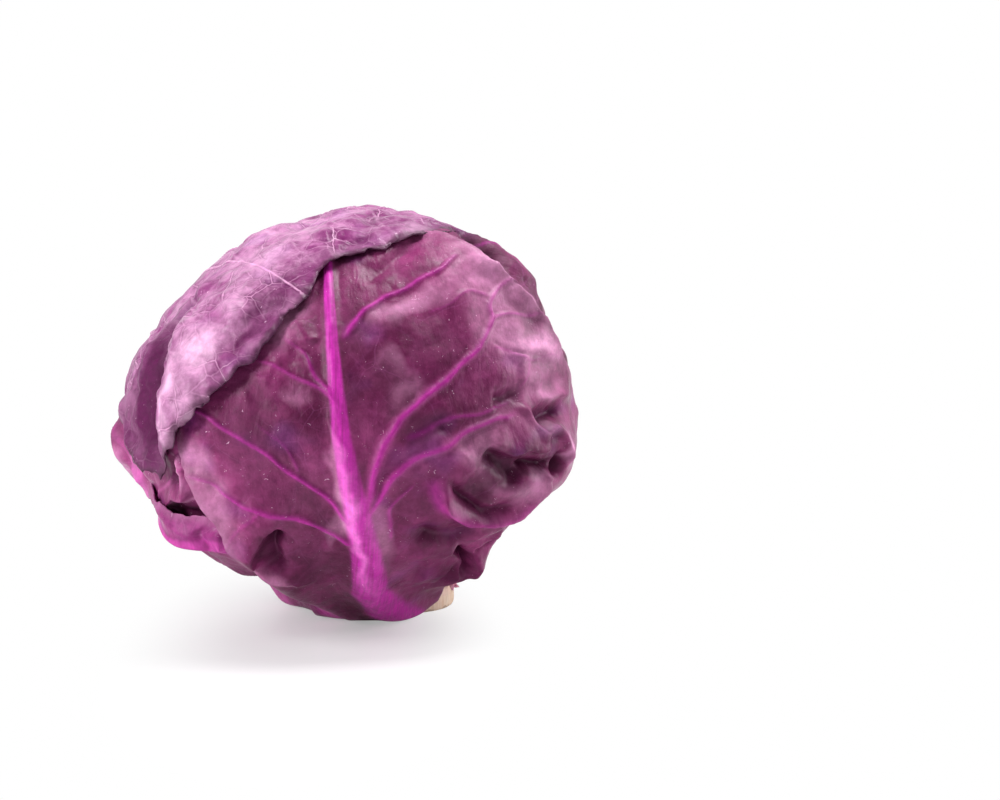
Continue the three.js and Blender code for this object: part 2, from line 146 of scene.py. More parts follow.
# Veins on each leaf's chart, from their root outwards: points, height and half width at the root
VEINS = {
    "front_leaf": [
        ([(-4, -22), (-2, -8), (1, 6), (9, 16), (22, 26), (35, 35.5), (41.5, 42), (45.5, 47), (46, 53),
          (51, 58), (60, 60)], 2.4, 1.9),
        ([(42.5, 43.5), (46, 47), (52.5, 48), (61.5, 47), (74, 45)], 1.0, 1.2),
        ([(-3, -20), (3, -6), (11, 2), (23, 7), (36, 12), (51, 14)], 1.9, 1.7),
        ([(-11, 42), (-5.5, 49.5), (0, 55), (12.5, 61), (22, 65), (30.5, 68.5), (38, 73)], 1.5, 1.5),
        ([(6, -30), (4.5, -17), (7, -11), (13, -5)], 1.0, 1.2),
        ([(8, 9), (18, 12), (27, 15), (40, 16), (52, 19)], 0.9, 1.4),
        ([(-8, -29), (-11.5, -26.5), (-20, -20), (-29, -17.5), (-43, -14.5), (-54.5, -8), (-64, -7)],
         1.6, 1.3),
        ([(-8, -20), (-12, -14.5), (-17, -9), (-26.5, -2.5), (-42.5, 7.5), (-59, 15.5), (-66, 18)], 1.7, 1.3),
        ([(-12, 21), (-20.5, 27.5), (-29.5, 32), (-41, 36.5)], 1.1, 1.1),
        ([(-13, 23), (-19.5, 30), (-24, 38.5), (-31.5, 44.5)], 1.1, 1.1),
        ([(47, 55.5), (37.5, 57), (30.5, 54.5), (22, 52)], 0.6, 0.8),
        ([(44, 37), (51, 35), (59, 31), (67, 31), (77, 29)], 0.6, 0.7),
        ([(18, -3), (19.5, -10), (24, -15.5), (31, -19), (40, -21), (48, -20), (55, -16)], 0.9, 3.2),
        ([(59, 31), (57, 26), (52, 21)], 0.5, 0.7),
        ([(-25, -2), (-30, 7), (-40, 14)], 0.5, 0.8),
        ([(-37, -15), (-44, -22), (-48, -30)], 0.5, 0.8),
    ],
    "crown_leaf": [
        ([(-3, -68), (-20, -48), (-42, -32), (-72, -20)], 1.3, 1.2),
        ([(-8, -38), (-28, -14), (-50, 2), (-84, 14)], 1.3, 1.2),
        ([(-9, -2), (-28, 20), (-48, 34), (-80, 50)], 1.2, 1.1),
        ([(0, -74), (12, -56), (26, -44)], 1.1, 1.1),
        ([(-8, -40), (6, -22), (24, -8), (40, -2)], 1.2, 1.1),
        ([(-9, 24), (2, 37), (11, 48), (21, 62), (27, 75), (30, 86)], 0.9, 0.9),
        ([(2, 37), (4, 54), (3, 67), (0, 80), (-8, 92)], 0.8, 0.9),
        ([(3, 67), (10, 76), (17, 86)], 0.6, 0.7),
        ([(-25, 58), (-17, 70), (-16, 84), (-22, 99)], 0.8, 0.9),
        ([(-46, 66), (-36, 80), (-20, 96), (-14, 104)], 0.9, 1.0),
        ([(-45, 40), (-36, 52), (-25, 58), (-10, 56), (4, 54)], 0.6, 0.8),
        ([(10, 8), (24, 27), (37, 39), (43, 46), (49.5, 54.5), (51.5, 66)], 0.8, 0.9),
        ([(21, 62), (32, 62), (36, 71), (36, 82)], 0.6, 0.7),
        ([(27, 68), (36, 71), (46, 70)], 0.5, 0.7),
        ([(50, 60), (60, 60), (63, 68)], 0.5, 0.7),
        ([(30, 20), (46, 30), (54.5, 34), (58.5, 45.5), (67.5, 54.5)], 0.8, 0.9),
        ([(56, 35), (64, 37), (70, 35), (76, 35)], 0.5, 0.7),
        ([(46, 50), (53, 47), (60, 44)], 0.5, 0.7),
    ],
    "right_leaf": [
        ([(-20, 30), (-32, 46), (-44, 62), (-50, 72)], 1.4, 1.6),
        ([(2, 0), (20, 26), (38, 46), (54, 60)], 1.4, 1.6),
        ([(0, 10), (-22, 20), (-48, 22), (-68, 18)], 1.4, 1.6),
        ([(2, -20), (24, -4), (44, 2), (60, 4)], 1.4, 1.6),
        ([(0, -14), (-24, -8), (-46, -12), (-64, -20)], 1.4, 1.6),
    ],
    "back_leaf": [
        ([(0, -30), (-18, -6), (-36, 8), (-58, 16)], 1.5, 1.7),
        ([(0, -30), (18, -8), (36, 6), (58, 12)], 1.5, 1.7),
        ([(0, 0), (-16, 22), (-34, 36), (-50, 46)], 1.4, 1.6),
        ([(0, 2), (17, 24), (34, 36), (50, 44)], 1.4, 1.6),
    ],
    "left_leaf": [
        ([(-2, -28), (-18, -8), (-34, 6), (-50, 14)], 1.4, 1.5),
        ([(-2, -24), (18, -10), (36, 0), (52, 8)], 1.2, 1.4),
        ([(0, -2), (-16, 16), (-32, 26)], 1.1, 1.3),
        ([(0, 0), (18, 16), (36, 26)], 1.1, 1.3),
    ],
    "left_fold_leaf": [
        ([(40, -8), (30, 2), (14, 8), (-6, 9), (-28, 10)], 1.2, 1.5),
    ],
    "lower_left_leaf": [
        ([(6, -26), (-14, -14), (-34, -8)], 1.2, 1.4),
        ([(4, -22), (18, -8), (30, 2)], 1.2, 1.4),
    ],
    "lower_right_leaf": [
        ([(-2, -16), (-16, -6), (-26, 6)], 1.1, 1.3),
        ([(-1, -14), (14, -4), (26, 8)], 1.1, 1.3),
    ],
}

# Folds and dents: points, height (negative for a dent), reach to the left and to the right of the
# line's travel, and how far the crest is pushed over to its left
FOLDS = {
    "front_leaf": [
        # the lobe at the right: its rolled lower rim, the crease inside it and the drop below it
        ([(21, -2), (22, -8), (24, -13), (28.5, -17.5), (35, -20), (41, -22), (47, -21), (53, -18),
          (58, -13), (62, -7)], 4.2, 3.2, 2, -2),
        ([(23.5, -3), (27, -8), (31, -12.5), (36, -16.5), (41, -18), (47, -16.5)], -4, 1.8, 1.4, 0),
        ([(27, -5), (32, -9), (38, -12)], -2, 3, 3, 0),
        ([(12, -21), (20, -26), (30, -28), (41, -29)], -4, 4, 3.5, 0),
        # hollows, nose and tip of the lobe
        ([(38, 5), (41, 0), (44, -4), (47, -9)], -5, 4.5, 4.5, 0),
        ([(47, -3), (53, -4), (58, -4.5), (65, -5)], -5.5, 1.5, 2.6, 0),
        ([(36, 10), (42, 5), (50, 4), (57, 3), (64, 2.5)], 3.8, 6, 2.6, -2.4),
        ([(26, 6), (29, 0), (32, -6)], 2.2, 4, 4, 0),
        ([(40, -12), (48, -11), (56, -12), (62, -15)], 1.6, 4, 4, 0),
        ([(58, -1), (58, -7), (59, -12)], 1.8, 1.6, 1.6, 0),
        ([(67, -1), (66, -6), (64, -12)], -7, 2.4, 2.2, 0),
        ([(60, 7), (66, 5), (70, 0), (71, -5), (67, -10)], 2.8, 3.5, 1.6, 0),
        ([(55, 13.5), (61, 11), (67, 10.5), (74, 12)], -3.8, 2.6, 2.2, 0),
        ([(48, 16), (54, 13.5), (56, 10), (61, 7), (68, 6)], 2.2, 1.6, 1.6, 0),
        ([(55, 15), (64, 16.5), (72, 16), (84, 14)], 1.6, 3, 1.4, 0),
        ([(40, 20), (46, 20), (53, 21)], -2.8, 2, 3.5, 0),
        ([(6, 9), (13, 11), (20, 12.5), (28, 14)], -2.8, 3, 3, 0),
        ([(50, 31), (58, 33), (66, 33), (76, 31)], 2, 5, 2, 0),
        ([(52, 26), (58, 25), (64, 22)], 1.5, 5, 5, 0),
        ([(48, 42), (58, 41), (70, 39)], 1.2, 5, 5, 0),
        ([(44, 38.5), (52.5, 35.5), (59, 33), (77, 31)], -1.1, 0.9, 0.9, 0),
        # the hollow at the lower left, the flap over it and the crumpled edge under it
        ([(-32, -21), (-34, -27), (-34, -35), (-31, -41)], -7, 3.8, 3.2, 0),
        ([(-31, -17), (-37, -23), (-40, -30), (-40, -36), (-42, -42)], 2.6, 1.4, 5, 1.5),
        ([(-48, -20), (-40, -19), (-32, -19), (-22, -20), (-14, -22)], 1.2, 4, 2, 0),
        ([(-42, -42), (-36, -42), (-30, -43), (-25, -44), (-20, -49)], 2.2, 2, 2, 0),
        # the left margin's roll
        ([(-70, 10), (-69, 0), (-65, -7), (-58, -12), (-54, -20), (-49, -27), (-43, -33)], 2.2, 5, 3, 0),
        ([(-60, 4), (-56, -4), (-50, -10)], -1.2, 5, 5, 0),
        # low on the right, between the midrib and the stump
        ([(33, -33), (40, -31), (47, -30), (53, -26)], 1.8, 2.5, 2, 0),
        ([(36, -38), (43, -39), (50, -37), (51, -30)], 1.4, 1.2, 1.2, 0),
        ([(40, -44), (46, -42), (51, -39)], -2.5, 2, 2, 0),
        ([(12, -34), (22, -35), (32, -36)], 1.5, 4, 4, 0),
        ([(18, -50), (26, -50), (34, -53)], 2.5, 7, 7, 0),
        ([(27, -35), (35, -41), (41, -50), (40, -61)], -8, 1.8, 1.8, 0),
        ([(28, -38), (35, -45), (38, -53), (36, -63)], 1.6, 1, 2.4, 0.8),
        ([(37, -38), (44, -46), (46, -54), (43, -63)], 3.2, 3, 2.4, 0),
        # the raised margin at the upper right
        ([(34, 82), (45, 70), (57, 60), (64.5, 52), (72, 44), (80, 35)], 2.4, 2, 5, 0),
        ([(38, 68), (50, 58), (60, 47), (68, 38)], -1.2, 4, 4, 0),
        # beside the crown leaf
        ([(-27, 51), (-25, 46), (-24, 41)], 2, 5, 5, 0),
        ([(-3, 66), (10, 73), (24, 81)], -1.6, 4, 4, 0),
    ],
    "crown_leaf": [
        ([(18, 34), (30, 31), (42, 28), (54, 25.5), (64, 23), (73, 18), (80, 11), (87, 3)], -5, 2.6, 12, 0),
        ([(26, 38), (40, 37), (54, 35.5), (66, 32.5), (76, 27), (84, 20), (90, 12)], 1.2, 5, 3, 0),
        ([(30, -34), (36, -30), (46, -21), (56, -16)], -3, 8, 8, 0),
        ([(38, -16), (50, -14), (60, -10), (70, -7), (80, -2), (90, 4)], 2.2, 5, 5, 0),
        ([(24, 27), (31, 31), (37, 38)], -2.6, 2.6, 2.6, 0),
        ([(36, 58), (43, 61), (48, 66)], 2, 7, 7, 0),
        ([(-20, 40), (-4, 46), (10, 44)], 1.6, 8, 8, 0),
        ([(-44, 74), (-30, 84), (-16, 90)], -1.5, 6, 6, 0),
        ([(60, 36), (68, 42), (74, 44)], 1.5, 5, 5, 0),
        ([(-85, 96), (-64, 101), (-46, 103), (-32, 104), (-18, 104)], -3.5, 9, 9, 0),
    ],
    "left_leaf": [
        # the crescent at the far left, the fold beside the crown leaf and the lip over the dark hollow
        ([(-6, 18), (0, 10), (4, 4), (10, -1), (22, -3)], 1.8, 3, 3, 0),
        ([(44, 11), (43, 4), (43.5, -2), (45, -7)], 2.6, 2, 2, 0),
        ([(39, 9), (38.5, 2), (40, -5)], -2.4, 1.6, 1.6, 0),
        ([(-12, 16), (-10, 7), (-7, 0), (-2, -5), (6, -8)], 2.4, 3, 4, 0),
        ([(-6, -12), (6, -13), (20, -12), (32, -8), (43, -4), (52, 0)], 3, 3.5, 1.6, -1),
        ([(6, -18), (16, -18), (28, -15), (42, -12), (52, -12)], -1.5, 2.4, 5, 0),
    ],
    "left_fold_leaf": [
        ([(46, -2), (36, 5), (22, 10), (10, 14), (0, 16)], 1.6, 2.5, 3.5, 0),
        ([(29, 11), (30, 6), (28, 1)], -2.2, 1.6, 1.6, 0),
        ([(34, 8), (35, 4), (34, 0)], 1.4, 1.6, 1.6, 0),
    ],
    "right_leaf": [
        ([(-28, 80), (-38, 70), (-46, 58), (-50, 45), (-50, 32)], 2, 6, 6, 0),
        ([(-34, 76), (-44, 69), (-52, 62), (-54, 52)], -5, 4, 4, 0),
    ],
}

# Patches of the skin that are lighter with waxy bloom and painted highlights, or deeper and bare of bloom
# with painted shade in hollows and troughs where negative: (x, y), reach along and across, angle, amount
TONE_AND_PAINTED_LIGHT_PATCHES = {
    "front_leaf": [
        ((-62, 0), 7, 5, 0, 0.45), ((-56, -10), 10, 5, -60, 0.4), ((-50, -23), 10, 4, -70, 0.45),
        ((-31, 49), 8, 4, 60, 0.6), ((10, 54), 14, 4, 8, 0.5), ((8, 36), 5, 4, 0, 0.35),
        ((11, 26), 7, 4, 50, 0.3),
        ((47, 47), 10, 10, 0, 0.35), ((62, 36), 14, 5, -18, 1.0), ((46, 62), 22, 8, -40, 0.45),
        ((24, 58), 16, 5, 20, 0.3), ((60, 24), 10, 8, 0, 0.35), ((66, 18), 8, 3, 0, 0.35),
        ((44, -4), 6, 4.5, -40, -0.7), ((57, -4.5), 6, 2, 0, -0.7), ((30, -48), 14, 7, -60, -0.6),
        ((66, -6), 6, 2.5, -80, -0.8), ((63, 11), 6, 3, 0, -0.3),
        ((34, -14), 8, 3, -45, -0.5),
        ((34, 4), 9, 8, 30, 0.35), ((50, -9), 12, 6, 0, 0.4), ((30, -15), 10, 3, -35, 0.5),
        ((-28, 22), 5, 5, 0, 0.35),
        ((-13, -24), 14, 3, 75, 0.4), ((2, -26), 14, 3, 105, 0.4), ((-34, -43), 8, 3, -10, 0.5),
        # the two narrow ones down the midrib are a painted highlight line
        ((-7, -24), 22, 1.6, 105, 0.9), ((-11, 2), 16, 1.2, 103, 0.5), ((-44, 8), 12, 10, 0, -0.5),
        # the first here is painted shade in the hollow at the lower left
        ((-36, -31), 8, 3, -85, -0.9), ((60, 9), 9, 3, -10, 0.3),
        # the middle one here is a painted highlight on the lobe's rolled rim
        ((56, 60), 20, 3, -45, 0.7), ((71, -2), 6, 2.5, 80, 0.9), ((52, 3), 7, 3, 0, -0.2),
        ((-50, -2), 6, 6, 0, 0.2), ((-40, 17), 10, 9, 0, -0.45), ((-42, 28), 7, 6, 0, -0.3),
        ((-21, 14), 8, 7, 0, -0.3), ((20, 67), 16, 5, 35, -0.5),
        ((-6, 50), 11, 3.5, 85, -0.5), ((22, 43), 11, 9, 30, -0.4), ((17, 13), 10, 4, 15, -0.7),
        ((17, -8), 12, 8, 20, -0.45),
        ((27, -24), 12, 8, 10, -0.6), ((-17, -37), 13, 8, 80, -0.45), ((30, -55), 10, 10, 0, -0.4),
        ((-36, -8), 14, 4, -20, -0.35),
    ],
    "crown_leaf": [
        ((76, 42), 11, 8, -60, 0.3), ((84, 26), 8, 5, -70, 0.5), ((55, 50), 10, 6, 30, 0.5),
        ((40, 60), 9, 6, 0, 0.45),
        ((14, 66), 12, 6, 20, 0.35), ((69, 30), 14, 2.5, -32, 0.9), ((58, 46), 8, 5, 30, 0.6),
        ((66, 40), 10, 5, -30, 0.2), ((-22, 102), 14, 4, -5, 0.4), ((-22, 44), 16, 8, 0, 0.3),
        ((40, 8), 16, 5, 10, 0.3),
        # the first two here are painted shade down the trough and along the roll beside it
        ((60, 13), 32, 11, -15, -1.3), ((67, -7), 24, 8, -5, -0.6), ((38, 72), 14, 5, -40, -0.5),
        ((55, 62), 10, 4, -40, -0.5), ((-10, 60), 20, 14, 0, 0.25),
        ((54, 65), 14, 5, -45, -0.5), ((30, 75), 12, 6, -10, -0.45), ((5, 92), 12, 4, -35, -0.4),
        ((-12, 95), 12, 5, 0, -0.4),
    ],
    "right_leaf": [((-48, 64), 16, 6, 60, -0.9), ((-30, 76), 10, 5, 20, 0.4), ((-60, 50), 14, 6, 80, 0.3)],
    "left_leaf": [
        ((40, -6), 9, 1.2, 10, 0.9), ((44, 3), 6, 1.2, 90, 0.5), ((30, -1), 12, 6, 0, -0.3),
        ((-8, 4), 3, 12, -20, 0.6), ((-7, 8), 8, 4, 100, -0.8), ((-2, -5), 5, 3, -30, 0.4),
        ((32, -15), 14, 6, -15, -0.7), ((8, -18), 20, 5, 0, -0.6), ((44, -17), 9, 8, 0, -0.7),
    ],
}

# Where the skin is blistered between its veins: (x, y), reach along and across, angle, height
BLISTERS = {
    "front_leaf": [
        ((-32, 30), 20, 12, 60, 1.5), ((20, 40), 16, 12, 0, 0.7), ((58, 30), 14, 10, 0, 0.6),
        ((20, 66), 22, 8, 35, 0.8),
    ],
    "crown_leaf": [((46, 56), 26, 16, -20, 1.7), ((72, 38), 14, 10, -60, 1.2), ((0, 72), 40, 16, 0, 0.8)],
}

# For each leaf: height of its broad puckers, of the pillows between its net of small veins, of that
# net, the size of the net, and how ragged its margin is
SKIN = {
    "crown_leaf": (1.5, 0.4, 0.0, 15, 1.8),
    "front_leaf": (0.8, 0.14, 0.05, 15, 0.8),
    "right_leaf": (1.6, 0.5, 0.2, 13, 1.2),
    "back_leaf": (1.6, 0.5, 0.2, 13, 1.2),
    "left_leaf": (1.2, 0.4, 0.2, 11, 1.2),
    "left_fold_leaf": (0.9, 0.3, 0.15, 10, 1.0),
    "lower_left_leaf": (1.2, 0.4, 0.2, 11, 1.2),
    "lower_right_leaf": (1.2, 0.4, 0.2, 11, 1.2),
}
PUCKER_SIZE = 17.0
FOLD_WANDER, PATCH_WANDER = 1.6, 3.0  # how far folds and patches stray from their lines


def smoothstep(low, high, value):
    t = np.clip((value - low) / (high - low), 0, 1)
    return t * t * (3 - 2 * t)


def facing(turn, rise):
    t, r = math.radians(turn), math.radians(rise)
    return np.array([math.sin(t) * math.cos(r), -math.cos(t) * math.cos(r), math.sin(r)])


class Chart:
    """A flat map of the head: distance from its middle is distance round the head."""

    def __init__(self, turn, rise, lean):
        lean = math.radians(lean)
        up, right = facing(turn, rise + 90), facing(turn + 90, 0)
        self.middle = facing(turn, rise)
        self.up = up * math.cos(lean) + right * math.sin(lean)
        self.right = right * math.cos(lean) - up * math.sin(lean)

    def wrap(self, spots):
        far = np.linalg.norm(spots, axis=-1)
        angle = far / CHART_RADIUS
        sideways = np.sin(angle) / np.maximum(far, 1e-9)
        flat = spots[..., :1] * self.right + spots[..., 1:] * self.up
        return np.cos(angle)[..., None] * self.middle + sideways[..., None] * flat

    def flatten(self, directions):
        spots = np.stack([directions @ self.right, directions @ self.up], -1)
        sine = np.linalg.norm(spots, axis=-1)
        angle = np.arctan2(sine, directions @ self.middle)
        return spots * (CHART_RADIUS * angle / np.maximum(sine, 1e-9))[..., None]


LOBES = [(Chart(*at), reach, height) for at, reach, height in HEAD_LOBES + SKIN_LOBES]


def head_radius(directions):
    upright = np.where(directions[..., 2] > 0, HEAD_UP, HEAD_DOWN)
    reach = np.stack([np.full_like(upright, HEAD_ACROSS), np.full_like(upright, HEAD_DEEP), upright], -1)
    radius = 1 / np.linalg.norm(directions / reach, axis=-1)
    for chart, (across, along), height in LOBES:
        spots = chart.flatten(directions)
        radius += height * np.exp(-((spots[..., 0] / across) ** 2) - (spots[..., 1] / along) ** 2)
    return radius


def over_head(directions, height):
    """Points at a height over the inner head, easing flat instead of passing the floor."""
    points = HEAD_CENTRE + directions * (head_radius(directions) + height)[..., None]
    points[..., 2] = FLOOR_EASE * np.logaddexp(0, points[..., 2] / FLOOR_EASE)
    return points


def smooth_curve(points, t):
    """Points along a smooth curve through the given ones, t from 0 to 1."""
    points = np.asarray(points, float)
    last = len(points) - 1
    padded = np.vstack([2 * points[0] - points[1], points, 2 * points[-1] - points[-2]])
    place = np.clip(np.asarray(t, float) * last, 0, last)
    start = np.minimum(place.astype(int), last - 1)
    f = (place - start)[..., None]
    a, b, c, d = (padded[start + i] for i in range(4))
    return b + 0.5 * f * (c - a + f * (2 * a - 5 * b + 4 * c - d + f * (3 * (b - c) + d - a)))


def nearest(line, spots):
    """How far each spot is from a line of points, and how far along the line, 0 to 1."""
    line = np.asarray(line, float)
    best = np.full(spots.shape[:-1], np.inf)
    along = np.zeros_like(best)
    for i, (a, b) in enumerate(zip(line[:-1], line[1:])):
        step = b - a
        t = np.clip(((spots - a) @ step) / max(step @ step, 1e-9), 0, 1)
        away = np.linalg.norm(spots - a - t[..., None] * step, axis=-1)
        closer = away < best
        best = np.where(closer, away, best)
        along = np.where(closer, (i + t) / (len(line) - 1), along)
    return best, along


def beside(points, reach, spots):
    """For a smooth line: distance with the left of its travel positive, how far along it, and which
    way its left lies. Spots well out of reach keep a distance of infinity."""
    line = smooth_curve(points, np.linspace(0, 1, 5 * (len(points) - 1) + 1))
    near = np.all((spots > line.min(0) - 3 * reach) & (spots < line.max(0) + 3 * reach), axis=-1)
    close = spots[near]
    best, along, side = np.full(len(close), np.inf), np.zeros(len(close)), np.zeros_like(close)
    for i, (a, b) in enumerate(zip(line[:-1], line[1:])):
        step = b - a
        t = np.clip(((close - a) @ step) / (step @ step), 0, 1)
        offset = close - a - t[:, None] * step
        away = np.hypot(offset[:, 0], offset[:, 1])
        left = np.array([-step[1], step[0]]) / np.hypot(*step)
        closer = away < np.abs(best)
        best = np.where(closer, np.where(offset @ left > 0, away, -away), best)
        along = np.where(closer, (i + t) / (len(line) - 1), along)
        side[closer] = left
    distance, share, leftward = np.full(near.shape, np.inf), np.zeros(near.shape), np.zeros_like(spots)
    distance[near], share[near], leftward[near] = best, along, side
    return distance, share, leftward


def scatter(i, j, seed):
    """Even random numbers from 0 to 1, the same ones for the same whole-number places."""
    n = (i.astype(np.int64) * 73856093) ^ (j.astype(np.int64) * 19349663) ^ (seed * 83492791)
    n = ((n ^ (n >> 13)) * 1274126177) & 0xFFFFFFFF
    return ((n ^ (n >> 15)) & 0xFFFF) / 65535


def bumps(spots, size, seed):
    """Smooth random hills and hollows about one size apart, from -1 to 1."""
    place = spots / size
    corner = np.floor(place)
    f = place - corner
    fade = f * f * f * (f * (f * 6 - 15) + 10)
    total = 0
    for di in (0, 1):
        for dj in (0, 1):
            angle = 2 * math.pi * scatter(corner[..., 0] + di, corner[..., 1] + dj, seed)
            slope = np.cos(angle) * (f[..., 0] - di) + np.sin(angle) * (f[..., 1] - dj)
            weight = (fade[..., 0] if di else 1 - fade[..., 0]) * (fade[..., 1] if dj else 1 - fade[..., 1])
            total = total + weight * slope
    return 1.5 * total


def wander(spots, size, seed):
    """A smooth random shift, up to about a millimetre each way."""
    return np.stack([bumps(spots, size, seed), bumps(spots, size, seed + 1)], -1)


def net(spots, size, seed):
    """Distance to the nearest edge of an irregular net whose meshes are about one size across."""
    place = spots / size + 0.25 * wander(spots, size, seed + 5)
    corner = np.floor(place)
    centres = []
    for di in (-1, 0, 1):
        for dj in (-1, 0, 1):
            i, j = corner[..., 0] + di, corner[..., 1] + dj
            shift = 0.1 + 0.8 * np.stack([scatter(i, j, seed), scatter(i, j, seed + 1)], -1)
            centres.append(np.stack([i, j], -1) + shift - place)
    centres = np.array(centres)
    away = (centres ** 2).sum(-1)
    first = np.take_along_axis(centres, away.argmin(0)[None, ..., None], 0)
    step = centres - first
    length = np.sqrt((step ** 2).sum(-1))
    edge = ((centres + first) / 2 * step).sum(-1) / np.maximum(length, 1e-6)
    return np.where(length < 1e-6, np.inf, edge).min(0) * size


def is_inside(outline, spots):
    within = np.zeros(spots.shape[:-1], bool)
    x, y = spots[..., 0], spots[..., 1]
    for (ax, ay), (bx, by) in zip(outline, np.roll(outline, -1, axis=0)):
        if ay != by:
            within ^= ((ay > y) != (by > y)) & (x < ax + (bx - ax) * (y - ay) / (by - ay))
    return within


def swelling(swells, spots):
    total = np.zeros(spots.shape[:-1])
    for at, along, across, angle, height in swells:
        cos, sin = math.cos(math.radians(angle)), math.sin(math.radians(angle))
        dx, dy = spots[..., 0] - at[0], spots[..., 1] - at[1]
        lengthwise, crosswise = (dx * cos + dy * sin) / along, (dy * cos - dx * sin) / across
        total += height * np.exp(-(lengthwise ** 2) - crosswise ** 2)
    return total


class Leaf:
    def __init__(self, name, springs, chart, cells, left, rib, right, swells, tip=None):
        self.name, self.cells, self.swells, self.tip = name, cells, swells, tip
        self.chart = Chart(*chart)
        self.rails = [
            [self.stump_rim(springs + side * BASE_SPREAD), *points]
            for side, points in ((-1, left), (0, rib), (1, right))
        ]
        steps = np.linspace(0, 1, OUTLINE_STEPS)
        across = 2 * steps - 1
        self.rib_line = self.spots(0 * steps, steps)
        self.outline = np.vstack([
            self.spots(1 + 0 * steps, steps), self.spots(-across, 1 + 0 * steps),
            self.spots(-1 + 0 * steps, 1 - steps), self.spots(across, 0 * steps),
        ])

    def stump_rim(self, turn):
        rim = facing(turn, 0) * (0.9 * STUMP_ACROSS, 0.9 * STUMP_DEEP, 0)
        rim[2] = STUMP_HEIGHT / 2
        towards = rim - HEAD_CENTRE
        return tuple(self.chart.flatten(towards / np.linalg.norm(towards)))

    def across_rails(self, u, v):
        left, rib, right = (smooth_curve(rail, v) for rail in self.rails)
        u = np.asarray(u, float)[..., None]
        return left * u * (u - 1) / 2 + rib * (1 - u * u) + right * u * (u + 1) / 2

    def spots(self, u, v):
        """Chart spots: u is -1 to 1 from the left margin to the right, v is 0 to 1 to the tip."""
        spots = self.across_rails(u, v)
        if self.tip:
            shift = smooth_curve(self.tip, (u + 1) / 2) - self.across_rails(u, np.ones_like(v))
            spots += shift * (v ** TIP_PULL)[..., None]
        return spots

    def depth_inside(self, spots):
        """Distance to the margin, positive over the leaf and negative past it."""
        away, _ = nearest(np.vstack([self.outline, self.outline[:1]]), spots)
        return np.where(is_inside(self.outline, spots), away, -away)

    def cover(self, spots):
        return 1 - smoothstep(0, COVER_FADE, -self.depth_inside(spots))

    def ridge(self, spots):
        away, along = nearest(self.rib_line, spots)
        fade = (1 - along) ** 1.5
        height = RIB_TIP[0] + (RIB_BASE[0] - RIB_TIP[0]) * fade
        width = RIB_TIP[1] + (RIB_BASE[1] - RIB_TIP[1]) * fade
        return height * np.exp(-((away / width) ** 2))

    def rib_shape(self, spots):
        """What the skin's sharper midrib adds to the plain ridge, and where the midrib is, 0 to 1."""
        away, along = nearest(self.rib_line, spots)
        tip_height, height_fall, tip_width, width_fall = SKIN_RIBS.get(self.name, BOLD_RIB)
        height = tip_height + RIB_RISE * (1 - along) ** height_fall
        width = tip_width + RIB_FLARE * (1 - along) ** width_fall
        spread = away / width
        crown = np.exp(-spread ** 2) + 0.25 * np.exp(-(spread / 2.6) ** 2)
        groove = 0.25 * np.exp(-((spread - 2) / 0.8) ** 2)
        return height * crown - groove - self.ridge(spots), np.exp(-spread ** 4)


leaves = [Leaf(name, **shape) for name, shape in LEAVES.items()]
HIDDEN_SINK = 10.0  # how far a leaf gives way where others cover it
SINK_START, SINK_FULL = 3.0, 11.0  # how deep under their margins that begins and is complete
SINKS_LATER = {"left_leaf": 8.0}  # leaves seen further in under the next one, by how much


